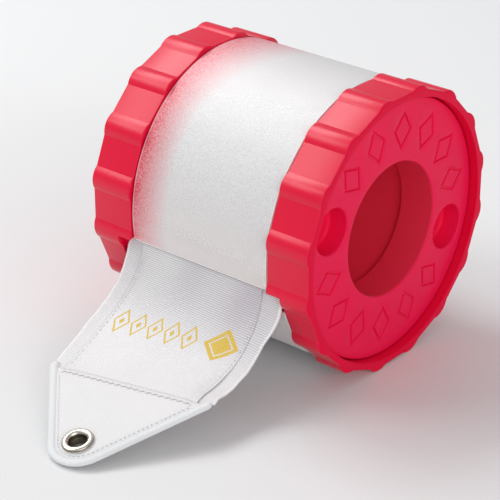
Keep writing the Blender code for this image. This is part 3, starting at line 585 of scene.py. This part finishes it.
# an outline of size one in quarters that match the cell's four sides, round or a diamond
def cellHole(arcSteps, isRound):
    sideways, outwards = [], []
    for quarter, steps in enumerate((arcSteps, dial["sideSteps"]) * 2):
        share = np.arange(steps) / steps - 0.5
        if isRound:
            low, near = np.sin(share * math.pi / 2), np.cos(share * math.pi / 2)
        else:
            low, near = share, 1.0 - abs(share)
        turned = ((low, -near), (near, low), (-low, near), (-near, -low))[quarter]
        sideways.append(turned[0])
        outwards.append(turned[1])
    return np.hstack(sideways), np.hstack(outwards)


# a cell from its edge, once round by inner arc, radial side, outer arc and radial side, to
# the outline in it, then on through rows of (size, size, place)
def cellGrid(middle, span, inner, outer, arcSteps, isRound, place, rows):
    arc = np.arange(arcSteps) / arcSteps
    side = np.arange(dial["sideSteps"]) / dial["sideSteps"]
    turn = np.radians(np.hstack([arc - 0.5, side * 0.0 + 0.5, 0.5 - arc, side * 0.0 - 0.5])
                      * span + middle)
    radius = inner + (outer - inner) * np.hstack([arc * 0.0, side, arc * 0.0 + 1.0, 1.0 - side])
    edge = stacked(radius * np.cos(turn), radius * np.sin(turn))
    sideways, outwards = cellHole(arcSteps, isRound)
    turn = math.radians(middle)
    outward = np.array([math.cos(turn), math.sin(turn)])
    aside = np.array([-math.sin(turn), math.cos(turn)])
    flat = (dial["cupCentre"] * outward
            + rows[:, 0, None, None] * sideways[:, None] * aside
            + rows[:, 1, None, None] * outwards[:, None] * outward)
    flat = np.vstack([edge[None], edge[None] * 0.5 + flat[:1] * 0.5, flat])
    along = np.hstack([[place, place], rows[:, 2]])[:, None]
    return stacked(along, axleY + flat[..., 0], axleZ + flat[..., 1])


# cup rows: rounded lip, wall, round into the floor, pole. Diamond rows: rounded edge of the
# groove, its floor, up again to the raised middle, pole. The bore is in the core's darker red,
# as painted shade.
def makeDial(name, side):
    face, back, hubEnd, plugEnd = dial["face"], dial["plateBack"], dial["hubEnd"], dial["plugEnd"]
    cup, lip, cupFloor, low = dial["cup"], dial["cupLip"], dial["cupFloor"], dial["floorRound"]
    bore, rim, rimInner, hub = dial["bore"], dial["rim"], dial["rimInner"], dial["hub"]
    across, along = quarterRound(5)
    cupRows = np.vstack([stacked(cup + lip * along, face - lip * across),
                         stacked(cup - low * across, cupFloor + low * along),
                         [(3.0, cupFloor), (0.0, cupFloor)]])
    bossRows = np.array([(dial["cupBack"], back), (dial["cupBack"], hubEnd), (0.0, hubEnd)])
    plainRows = np.array([(1.0, back), (0.0, back)])
    cupRows, bossRows, plainRows = (rows[:, [0, 0, 1]] for rows in (cupRows, bossRows,
                                                                    plainRows))
    wide, tall = dial["diamondWidth"] / 2, dial["diamondHeight"] / 2
    inset = wide * tall / math.hypot(wide, tall)
    deep, groove = dial["grooveDepth"], dial["groove"]
    edge = [(0.0, 0.0), (0.05, 0.02), (0.10, 0.10), (0.13, deep - 0.10), (0.20, deep)]
    steps = edge + [(groove - inward, down) for inward, down in edge[::-1]]
    inward, down = np.array(steps + [(groove + 0.6, 0.0), (inset, 0.0)]).T
    diamondRows = stacked(wide * (1.0 - inward / inset), tall * (1.0 - inward / inset),
                          face - down)
    cells = []
    for half in (0.0, 180.0):
        middle, span = dial["cupAngle"] + half, dial["diamondSpan"]
        cells.append((middle, dial["cupSpan"], dial["cupSteps"], True, cupRows, bossRows))
        for number in range(dial["diamonds"]):
            offset = (number - (dial["diamonds"] - 1) / 2) * span
            cells.append((middle + 90.0 + offset, span, dial["diamondSteps"], False,
                          diamondRows, plainRows))
    edge = dial["edgeRound"]
    grids, ways = [], []
    for middle, span, arcSteps, isRound, frontRows, backRows in cells:
        grids.append(cellGrid(middle, span, bore + edge, rim - edge, arcSteps, isRound, face,
                              frontRows))
        grids.append(cellGrid(middle, span, hub, rimInner, arcSteps, isRound, back, backRows))
        ways.append(middle + span * (np.arange(arcSteps) / arcSteps - 0.5))
    # the rim outside, then the hub, the plug and the bore inside
    sections = [([rim - edge * across[::-1], rim, rimInner, rimInner],
                 [face - edge * along[::-1], dial["rimEnd"], dial["rimEnd"], back]),
                ([hub, hub, dial["plug"], dial["plug"], bore, bore + edge * across],
                 [back, hubEnd, hubEnd, plugEnd, plugEnd, face - edge * along])]
    for section in sections:
        radius, place = (np.hstack(items)[:, None] for items in section)
        grids.append(aroundAxle(radius, np.hstack(ways), place))
    faces, count = [], 0
    for grid in grids:
        faces.append(gridFaces(grid, wrapColumns=True) + count)
        count += grid.size // 3
    points = np.vstack([grid.reshape(-1, 3) for grid in grids]) * np.array([side, 1.0, 1.0])
    piece = makePiece(name, points, np.vstack(faces), dialRed, "spool", weld=True, crease=28.0)
    # the bore's faces get the darker red, as painted shade
    paintFaces(piece, coreRedPaintedShade, lambda polygon: math.hypot(
        polygon.center.y * 1000.0 - axleY, polygon.center.z * 1000.0 - axleZ) < bore + 0.1)
    return piece


for word, side in bothSides:
    piece = makeDial(word + "TurningDial", side)
    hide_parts(word + "_dial")
    flange = frame["nodes"][word + "_roll_flange"].data.materials
    flange.clear()
    flange.append(dialRed)
print("dials made")


# ---- sleeve and core tube

# a tube with a slit along it: a rounded box section carried round from one lip to the other.
# Each zone has a start and an end angle and half a length.
def slitTube(name, material, body, tube):
    across, along = quarterRound(3)
    edge, zones = tube["round"], tube["zones"]
    firstLip, lastLip, narrow = zones[0][0], zones[-1][1], zones[-1][2]
    parts, maps = [], []
    for start, end, half in zones:
        angle = np.linspace(start, end, max(2, int(round((end - start) / 1.5)) + 1))[:, None]
        fromLip = np.minimum(angle - firstLip, lastLip - angle)
        trim = edge * (1.0 - rise(fromLip, 0.0, 0.35))
        inner, outer = tube["inner"] + trim, tube["outer"] - trim
        over, up = edge * along, edge * across
        wall = (half - edge) * np.linspace(1.0, -1.0, 15)[1:-1]
        radius = sideBySide(angle, [inner + up[::-1], outer - up, outer + wall * 0.0,
                                    outer - up[::-1], inner + up, inner + wall * 0.0])
        place = sideBySide(angle, [half - over[::-1], half - over, wall, over[::-1] - half,
                                   over - half, -wall])
        parts.append(aroundAxle(radius, angle, place))
        maps.append(stacked((half + place) * narrow / half,
                            np.radians(fromLip) * tube["outer"]))
    points, uv = np.vstack(parts), np.vstack(maps) / ribbonWidth
    return makePiece(name, points, gridFaces(points, wrapColumns=True), material, body,
                     uv=uv, caps=tubeCaps(points), weld=True)


sleeve = dict(inner=37.3, outer=38.0, round=0.12,
              zones=[(199.0, 287.05, 27.45), (287.05, 550.5, 22.85)])
sleevePiece = slitTube("frostedSleeve", frosted, "housing", sleeve)
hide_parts("window_sleeve")

# the core is in the darker red, as painted shade
core = dict(inner=19.7, outer=21.0, round=0.15, zones=[(152.8, 507.2, 25.3)])
corePiece = slitTube("splitCore", coreRedPaintedShade, "spool", core)
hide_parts("core_tube")
print("sleeve and core made")


# ---- wound ribbon

wound = dict(thickness=0.20, tuckRadius=19.2, tuckFrom=123.0, passFrom=145.0, passTo=155.0,
             firstRadius=21.42, turns=34, pitch=0.283, loosening=1.90, looseTurns=3.2,
             lastAngle=169.0, tuckHalf=23.7, half=25.0, step=5.0, fineTurns=900.0, wobble=0.05)


# a spiral: the radius grows by the pitch each turn, and a little more in its last loose
# turns. Its inner end is tucked through the core's split.
def makeWoundRibbon():
    passed = wound["passTo"]
    last = wound["lastAngle"] + 360.0 * wound["turns"]
    fine = last - wound["fineTurns"]
    angle = np.hstack([np.linspace(wound["tuckFrom"], passed, 33)[:-1],
                       np.linspace(passed, fine, int((fine - passed) / wound["step"]))[:-1],
                       np.linspace(fine, last, 361)])
    spiral = wound["firstRadius"] + wound["pitch"] * (angle - passed) / 360.0
    before = np.clip(1.0 - (last - angle) / 360.0 / wound["looseTurns"], 0.0, 1.0)
    radius = spiral + wound["loosening"] * before ** 2
    share = rise(angle, wound["passFrom"], passed)
    inner = wound["tuckRadius"] + (wound["firstRadius"] - wound["tuckRadius"]) * share
    radius = np.where(angle < passed, inner, radius)
    half = wound["tuckHalf"] + (wound["half"] - wound["tuckHalf"]) * rise(
        angle, passed, passed + 20.0)
    across = np.linspace(-1.0, 1.0, 7)
    wobble = wound["wobble"] * np.sin(np.radians(angle * 3.0))[:, None] * across ** 2
    aside = half[:, None] * across
    points = aroundAxle(radius[:, None] + wobble * before[:, None], angle[:, None], aside)
    length = runningLength(*aroundAxle(radius, angle, 0.0).T)
    piece = makePiece("woundRibbon", points, gridFaces(points), ribbonCloth, "spool",
                      uv=clothMap(aside, length[:, None]))
    thicken(piece, wound["thickness"])
    return piece, float(length[-1]), clothArea(half, length)


woundRibbon, woundLength, woundArea = makeWoundRibbon()
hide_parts("ribbon_roll", "ribbon_outer_turn", "ribbon_start_tab")
print("wound ribbon made, %.2f m of it" % (woundLength * 0.001))


# ---- paid-out end of the ribbon

tail = dict(startRadius=33.916, startAngle=169.016, exitRadius=37.65, slitMiddle=194.75,
            length=38.5, slopes=(45.9, 21.2), pointSlope=13.5540, yaws=(-2.8, -0.4, 9.6),
            banks=(4.4, 2.4, -3.4), half=25.0, thickness=0.42, pointLength=30.6,
            pointLean=33.4, pointInset=2.1, rows=66, curl=0.45, flare=2.1, leftFlare=1.1,
            waves=0.14, folds=0.22)
lean = math.radians(tail["pointLean"])


# level at nil, then through the three values at the thirds
def eased(share, values):
    powers = np.array([2, 3, 4])
    factors = np.linalg.solve((np.array([1.0, 2.0, 3.0]) / 3.0)[:, None] ** powers,
                              np.array(values))
    return (share[:, None] ** powers) @ factors


# rows of the ribbon's way: length from the slit, place, and forward, side and upward
# directions. The slope is a cubic through four values, and place is its running sum.
def tailWay():
    begin = aroundAxle(tail["startRadius"], tail["startAngle"], 0.0)
    leave = aroundAxle(tail["exitRadius"], tail["slitMiddle"], 0.0)
    run = leave - begin
    runLength = float(np.linalg.norm(run))
    runSlope = math.degrees(math.atan2(-run[2], -run[1]))
    share = np.linspace(0.0, 1.0, 97)
    knots = np.array([0.0, 1.0, 2.0, 3.0]) / 3.0
    slopes = np.array([runSlope, *tail["slopes"], tail["pointSlope"]])
    slope = np.radians(np.vander(share, 4) @ np.linalg.solve(np.vander(knots, 4), slopes))
    yaw, bank = np.radians(eased(share, tail["yaws"])), np.radians(eased(share, tail["banks"]))
    ahead = stacked(np.sin(yaw) * np.cos(slope), -np.cos(yaw) * np.cos(slope), -np.sin(slope))
    level = stacked(np.cos(yaw), np.sin(yaw), 0.0)
    down = np.cross(level, ahead)
    side = level * np.cos(bank)[:, None] + down * np.sin(bank)[:, None]
    moves = (ahead[1:] + ahead[:-1]) / 2 * tail["length"] / 96
    place = leave + np.vstack([np.zeros(3), np.cumsum(moves, axis=0)])
    early = np.linspace(0.0, 1.0, 13)[:-1]
    length = np.hstack([(early - 1.0) * runLength, share * tail["length"]])
    place = np.vstack([begin + run * early[:, None], place])
    ahead = np.vstack([np.tile(run / runLength, (12, 1)), ahead])
    side = np.vstack([np.tile([1.0, 0.0, 0.0], (12, 1)), side])
    return length, place, ahead, side, np.cross(ahead, side)


wayLength, wayPlace, wayAhead, waySide, wayUp = tailWay()


# a place on the ribbon: this far along, aside of its middle and above it. Past the
# shoulders the ribbon lies flat in the last row's directions.
def onRibbon(along, aside, lift):
    along, aside, lift = np.broadcast_arrays(along, aside, lift)

    def pick(values):
        return stacked(*(np.interp(along, wayLength, column) for column in values.T))

    past = np.maximum(along - wayLength[-1], 0.0)
    return (pick(wayPlace) + wayAhead[-1] * past[..., None] + pick(waySide) * aside[..., None]
            + pick(wayUp) * lift[..., None])


# the round that ends the point: its middle's distance past the shoulders, and its radius
def pointRound(inset):
    middle = (tail["pointLength"] - tail["half"] * math.cos(lean)) / (1 - math.sin(lean))
    return middle, tail["pointLength"] - middle - inset


# half the point's width this far past the shoulders, for an outline inset this far
def pointHalf(ahead, inset):
    middle, radius = pointRound(inset)
    straight = tail["half"] - inset / math.cos(lean) - ahead * math.tan(lean)
    curved = np.sqrt(np.maximum(radius ** 2 - (ahead - middle) ** 2, 0.0))
    return np.where(ahead > middle + radius * math.sin(lean), curved, straight)


# how far inside the point's full outline a place lies
def pointDepth(ahead, aside):
    middle, radius = pointRound(0.0)
    sides = (tail["half"] - abs(aside) - ahead * math.tan(lean)) * math.cos(lean)
    tip = radius - np.hypot(ahead - middle, aside)
    return np.where(ahead > middle + abs(aside) * math.tan(lean), tip, sides)


# the point's outline from the right shoulder round to the left one, evenly spaced
def pointOutline(inset, first, count=400):
    middle, radius = pointRound(inset)
    turn = np.linspace(lean, math.pi / 2, 24)
    ahead = np.hstack([np.linspace(first, middle + radius * math.sin(lean), 40)[:-1],
                       middle + radius * np.sin(turn)])
    aside = np.hstack([pointHalf(ahead[:39], inset), radius * np.cos(turn)])
    ahead = np.hstack([ahead, ahead[-2::-1]])
    aside = np.hstack([aside, -aside[-2::-1]])
    gone = runningLength(ahead, aside)
    even = np.linspace(0.0, gone[-1], count)
    return np.interp(even, gone, ahead), np.interp(even, gone, aside), even


eyelet = dict(aside=-0.3, ahead=22.966, cut=3.2, steep=0.55)


# quads of a point grid without those round the eyelet's hole
def withoutHole(ahead, aside, faces):
    gone = np.hypot(ahead - eyelet["ahead"], aside - eyelet["aside"]).ravel()
    return faces[gone[faces].mean(axis=1) > eyelet["cut"]]


# rows past the shoulders, closer together towards the round end
def pointRows():
    middle, radius = pointRound(tail["pointInset"])
    turn = np.radians(np.linspace(36.0, 89.0, 16))
    return np.hstack([np.linspace(0.0, middle + radius * math.sin(turn[0]), 46)[:-1],
                      middle + radius * np.sin(turn)])


# a slow waviness along the ribbon's edges and faint folds across it near the slit. Both
# are gone at the shoulders.
def ripple(along, share):
    edge = abs(share) ** 6
    waves = (np.sin(along * 0.55 + 1.0 + share) + 0.6 * np.sin(along * 1.13 + 2.0 * share))
    folds = np.sin(share * 7.0 + along * 0.10) * rise(along, -2.0, 6.0) * (
        1.0 - rise(along, 18.0, 34.0))
    both = tail["waves"] * edge * waves * rise(along, 1.0, 8.0) + tail["folds"] * folds
    return both * (1.0 - rise(along, tail["length"] - 8.0, tail["length"]))


# the base ribbon: it flares where it leaves the slit, its margins curl up a little, and its
# corners turn in under the binding
def makeBaseRibbon():
    length = tail["length"]
    along = np.hstack([np.linspace(wayLength[0], -0.6, 12),
                       np.linspace(0.0, length - 3.2, tail["rows"]),
                       np.linspace(length - 3.0, length - 0.15, 16),
                       length + pointRows()])
    corner = pointHalf(np.array(0.0), tail["pointInset"])
    turned = rise(along, length - 2.2, length - 1.2)
    half = np.where(along < length, tail["half"] + (corner - tail["half"]) * turned,
                    pointHalf(along - length, tail["pointInset"]))
    share = closerAtEnds(77, 0.86)
    near = rise(along, -3.0, 0.5) * (1.0 - rise(along, 3.0, 14.0))
    plain = half[:, None] * share
    aside = plain + near[:, None] * share ** 4 * np.where(share > 0.0, tail["flare"],
                                                          -tail["leftFlare"])
    curled = rise(along, 3.0, 9.0) * (1.0 - rise(along, length - 5.0, length - 2.0))
    lift = ripple(along[:, None], share) + tail["curl"] * curled[:, None] * rise(
        abs(aside), 21.6, 25.2)
    points = onRibbon(along[:, None], aside, lift)
    faces = withoutHole(along[:, None] - length, aside, gridFaces(points))
    piece = makePiece("baseRibbon", points, faces, ribbonCloth, "housing",
                      uv=clothMap(plain, along[:, None]))
    thicken(piece, tail["thickness"])
    return piece, float(along[-1] - along[0]), clothArea(half, along)


panel = dict(half=20.5, start=-3.4, low=0.34, thickness=0.45, stitch=0.7, furrow=0.12,
             crown=0.92, edge=0.50, pressed=0.22, pucker=0.05, puckerPitch=2.2)


# the second layer's height: raised in its middle, lower along its stitches, and pressed
# nearly level with the base ribbon along its right side near the slit
def panelLift(aside, along):
    depth = panel["half"] - abs(aside)
    flush = rise(aside, 0.0, 10.0) * (1.0 - rise(along, 16.0, 26.0))
    edge = panel["edge"] + (panel["pressed"] - panel["edge"]) * flush
    lift = edge + (panel["crown"] - edge) * rise(depth, 0.9, 3.2 + 6.0 * flush)
    return lift - panel["furrow"] * (1.0 - 0.8 * flush) * bumpAt(depth, panel["stitch"], 0.35)


# the same, lower where it comes out of the slit, and with the ribbon's ripples
def panelHeight(aside, along):
    lift = (panelLift(aside, along) - panel["low"]) * rise(along, panel["start"], 3.0)
    return panel["low"] + lift + ripple(along, aside / tail["half"])


# it puckers a little beside its stitches
def makePanel():
    along = np.linspace(panel["start"], tail["length"] - 0.03, 84)[:, None]
    aside = panel["half"] * closerAtEnds(73, 0.9)
    depth = panel["half"] - abs(aside)
    pucker = panel["pucker"] * np.sin(along * math.tau / panel["puckerPitch"])
    pucker = pucker * bumpAt(depth, 1.6, 1.2) * rise(along, panel["start"], 3.0)
    points = onRibbon(along, aside, panelHeight(aside, along) + pucker)
    piece = makePiece("sewnPanel", points, gridFaces(points), panelCloth, "housing",
                      uv=clothMap(aside, along))
    thicken(piece, panel["thickness"])
    return piece, float(along[-1, 0] - along[0, 0])


patch = dict(thickness=0.55, lift=1.16, edgeLift=0.85, stitch=2.8, furrow=0.13,
             crossAt=1.3, crossFurrow=0.09, eyeletAt=4.4, eyeletFurrow=0.10)


# the stiff point: it starts level with the second layer, and then its height follows the
# depth inside the outline, with a furrow where the stitches run, one at the cross seam and
# one round the eyelet
def patchLift(ahead, aside):
    depth = pointDepth(ahead, aside)
    lift = patch["edgeLift"] + (patch["lift"] - patch["edgeLift"]) * rise(depth, 2.1, 4.6)
    lift = lift - patch["furrow"] * bumpAt(depth, patch["stitch"], 0.40)
    level = np.where(abs(aside) < panel["half"],
                     panelLift(aside, tail["length"]) - 0.05, 0.49)
    lift = level + (lift - level) * rise(ahead, 0.0, 2.8)
    lift = lift - patch["crossFurrow"] * bumpAt(ahead, patch["crossAt"], 0.5)
    away = np.hypot(ahead - eyelet["ahead"], aside - eyelet["aside"])
    return lift - patch["eyeletFurrow"] * bumpAt(away, patch["eyeletAt"], 0.6)


def makePatch():
    ahead = pointRows()[:, None]
    half = pointHalf(ahead, tail["pointInset"])
    aside = half * closerAtEnds(77, 0.9)
    points = onRibbon(tail["length"] + ahead, aside, patchLift(ahead, aside))
    faces = withoutHole(ahead, aside, gridFaces(points))
    piece = makePiece("stiffPoint", points, faces, patchCloth, "housing",
                      uv=clothMap(aside, ahead))
    thicken(piece, patch["thickness"])
    area = clothArea(half[:, 0], ahead[:, 0])
    return piece, float(half.max() * 2.0), float(ahead.max()), area


binding = dict(wide=1.12, tall=0.86, lift=0.62, count=440, around=18, stitch=1.6, drawn=0.02,
               before=2.4, smooth=9, endRound=1.5, mapWidth=0.11)


# a flattened tube that starts on the ribbon's edge, turns the corner and follows the point,
# drawn in a little at each stitch and rounded off at its two ends
def makeBinding():
    corner = -binding["wide"] * (1.0 / math.cos(lean) - 1.0) / math.tan(lean)
    ahead, aside, _ = pointOutline(binding["wide"], corner)
    ahead = np.hstack([[-binding["before"]], ahead, [-binding["before"]]])
    aside = np.hstack([aside[:1], aside, aside[-1:]])
    gone = runningLength(ahead, aside)
    even = np.linspace(0.0, gone[-1], binding["count"] + binding["smooth"] - 1)
    window = np.ones(binding["smooth"]) / binding["smooth"]
    ahead, aside = (np.convolve(np.interp(even, gone, way), window, "valid")
                    for way in (ahead, aside))
    gone = runningLength(ahead, aside)
    out = stacked(-np.gradient(aside), np.gradient(ahead))
    out /= np.linalg.norm(out, axis=1)[:, None]
    out *= np.sign(np.sum(out * stacked(ahead - 8.0, aside), axis=1))[:, None]
    turn = np.linspace(0.0, math.tau, binding["around"], endpoint=False)
    fromEnd = np.minimum(gone, gone[-1] - gone) / binding["endRound"]
    ends = np.sqrt(1.0 - np.clip(1.0 - fromEnd, 0.0, 0.98) ** 2)
    size = ends * (1.0 - binding["drawn"] * np.cos(gone * math.tau / binding["stitch"]) ** 2)
    wide = binding["wide"] * size[:, None] * np.cos(turn)
    tall = binding["tall"] * size[:, None] * np.sin(turn)
    points = onRibbon(tail["length"] + ahead[:, None] + out[:, :1] * wide,
                      aside[:, None] + out[:, 1:] * wide, binding["lift"] + tall)
    uv = stacked(turn / math.tau * binding["mapWidth"], gone[:, None] / ribbonWidth)
    return makePiece("pointBinding", points, gridFaces(points, wrapColumns=True),
                     bindingCloth, "housing", uv=uv, caps=tubeCaps(points), weld=True,
                     crease=60.0)


# stitches: one small capsule each, bowed upwards, along a pair of ends
def makeStitches(name, starts, ends, ups, radius, bow):
    along = np.linspace(0.0, 1.0, 7)
    turn = np.linspace(0.0, math.tau, 7)[:-1]
    size = radius * np.sqrt(np.clip(1.0 - (2.0 * along - 1.0) ** 4, 0.02, 1.0))
    way = ends - starts
    flat = np.cross(way, ups)
    flat /= np.linalg.norm(flat, axis=1)[:, None]
    arch = bow * np.sin(along * math.pi)
    middle = (starts[:, None, :] + way[:, None, :] * along[:, None]
              + ups[:, None, :] * arch[:, None])
    circle = (np.cos(turn)[None, None, :, None] * flat[:, None, None, :]
              + np.sin(turn)[None, None, :, None] * ups[:, None, None, :])
    points = middle[:, :, None, :] + size[None, :, None, None] * circle
    base = np.arange(len(starts))[:, None] * len(along) * len(turn)
    faces = gridFaces(points[0], wrapColumns=True)[None] + base[:, :, None]
    first, last = np.array(tubeCaps(points[0]))
    caps = np.vstack([base + first[::-1], base + last])
    uv = np.tile(stacked(along[:, None], turn / math.tau), (len(starts), 1, 1, 1))
    return makePiece(name, points, faces.reshape(-1, 4), thread, "housing", uv=uv, caps=caps,
                     weld=True, crease=60.0)


sewing = dict(radius=0.11, length=0.85, pitch=1.25, bow=0.10, proud=0.01, zigzag=0.90,
              zigzagPitch=0.95, zigzagRadius=0.14, zigzagProud=0.03, zigzagInset=3.4,
              sideRadius=0.09, sideBow=0.05, sideFrom=2.0)


def sew(name, node, starts, ends, ups, radius, bow):
    piece = makeStitches(name, starts, ends, ups, radius, bow)
    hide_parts(node)


def makeSewing():
    up, length, pitch, proud = wayUp[-1:], sewing["length"], sewing["pitch"], sewing["proud"]
    # running stitches inside the point's edge
    ahead, aside, gone = pointOutline(patch["stitch"], 2.2)
    first = np.arange(0.3, gone[-1] - length, pitch)
    ends = []
    for along in (first, first + length):
        a, b = np.interp(along, gone, ahead), np.interp(along, gone, aside)
        ends.append(onRibbon(tail["length"] + a, b,
                             patchLift(a, b) + patch["thickness"] / 2 + proud))
    sew("pointStitches", "tip_seam_thread", *ends, np.repeat(up, len(first), axis=0),
        sewing["radius"], sewing["bow"])
    # zigzag across the ribbon where the patch begins
    reach = float(pointHalf(np.array(patch["crossAt"]), sewing["zigzagInset"]))
    aside = np.arange(-reach, reach, sewing["zigzagPitch"])
    ahead = patch["crossAt"] + sewing["zigzag"] / 2 * (-1.0) ** np.arange(len(aside))
    lift = patchLift(ahead, aside) + patch["thickness"] / 2 + sewing["zigzagProud"]
    spots = onRibbon(tail["length"] + ahead, aside, lift)
    sew("crossSeam", "cross_seam_thread", spots[:-1], spots[1:],
        np.repeat(up, len(spots) - 1, axis=0), sewing["zigzagRadius"], sewing["bow"])
    # rows along the panel's two sides
    for word, side in bothSides:
        first = np.arange(sewing["sideFrom"], tail["length"] - sewing["sideFrom"], pitch)
        aside = side * (panel["half"] - panel["stitch"])
        ends = [onRibbon(along, aside, panelHeight(aside, along) + panel["thickness"] / 2
                         + proud) for along in (first, first + length)]
        ups = onRibbon(first, aside, 1.0) - onRibbon(first, aside, 0.0)
        sew(word + "PanelStitches", word + "_edge_thread", *ends, ups, sewing["sideRadius"],
            sewing["sideBow"])


# a profile of (radius, height) turned round the eyelet's middle, square to the point. Its
# steep faces, in the hole and round the edge, are darker, as painted shade.
def turnedOnPoint(name, profile, material):
    profile = np.array(profile)
    turn = np.radians(np.arange(0.0, 360.0, 3.75))
    ahead = eyelet["ahead"] + profile[:, :1] * np.sin(turn)
    aside = eyelet["aside"] + profile[:, :1] * np.cos(turn)
    points = onRibbon(tail["length"] + ahead, aside, profile[:, 1:])
    piece = makePiece(name, points, gridFaces(points, True, True), material, "housing",
                      weld=True, crease=50.0)
    paintFaces(piece, nickelPaintedShade,
               lambda face: abs(float(np.dot(face.normal, wayUp[-1]))) < eyelet["steep"])
    return piece


baseRibbon, baseLength, baseArea = makeBaseRibbon()
sewnPanel, panelLength = makePanel()
stiffPoint, pointWidth, pointReach, pointArea = makePatch()
pointBinding = makeBinding()
for piece, node in ((baseRibbon, "ribbon_tail"), (sewnPanel, "doubled_panel"),
                    (stiffPoint, "tip_patch"), (pointBinding, "tip_piping")):
    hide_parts(node)
makeSewing()
eyeletPiece = turnedOnPoint("nickelEyelet", [
    (2.25, -1.05), (2.25, 0.95), (2.32, 1.45), (2.48, 1.85), (2.68, 2.14), (2.88, 2.31),
    (3.12, 2.39), (3.52, 2.38), (3.86, 2.28), (4.08, 2.09), (4.19, 1.85), (4.17, 1.72),
    (4.05, 1.66), (2.75, 1.66), (2.62, 1.55), (2.60, -0.95), (2.75, -1.12), (3.25, -1.15),
    (3.40, -1.25), (3.38, -1.36), (3.20, -1.40), (2.50, -1.38), (2.30, -1.26)], nickel)
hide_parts("eyelet")
washerPiece = turnedOnPoint("nickelWasher", [
    (2.90, -0.62), (2.90, -0.86), (3.00, -0.90), (4.08, -0.90), (4.20, -0.80), (4.18, -0.66),
    (4.05, -0.60), (3.00, -0.60)], nickel)
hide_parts("eyelet_washer")

print("ribbon's end made")
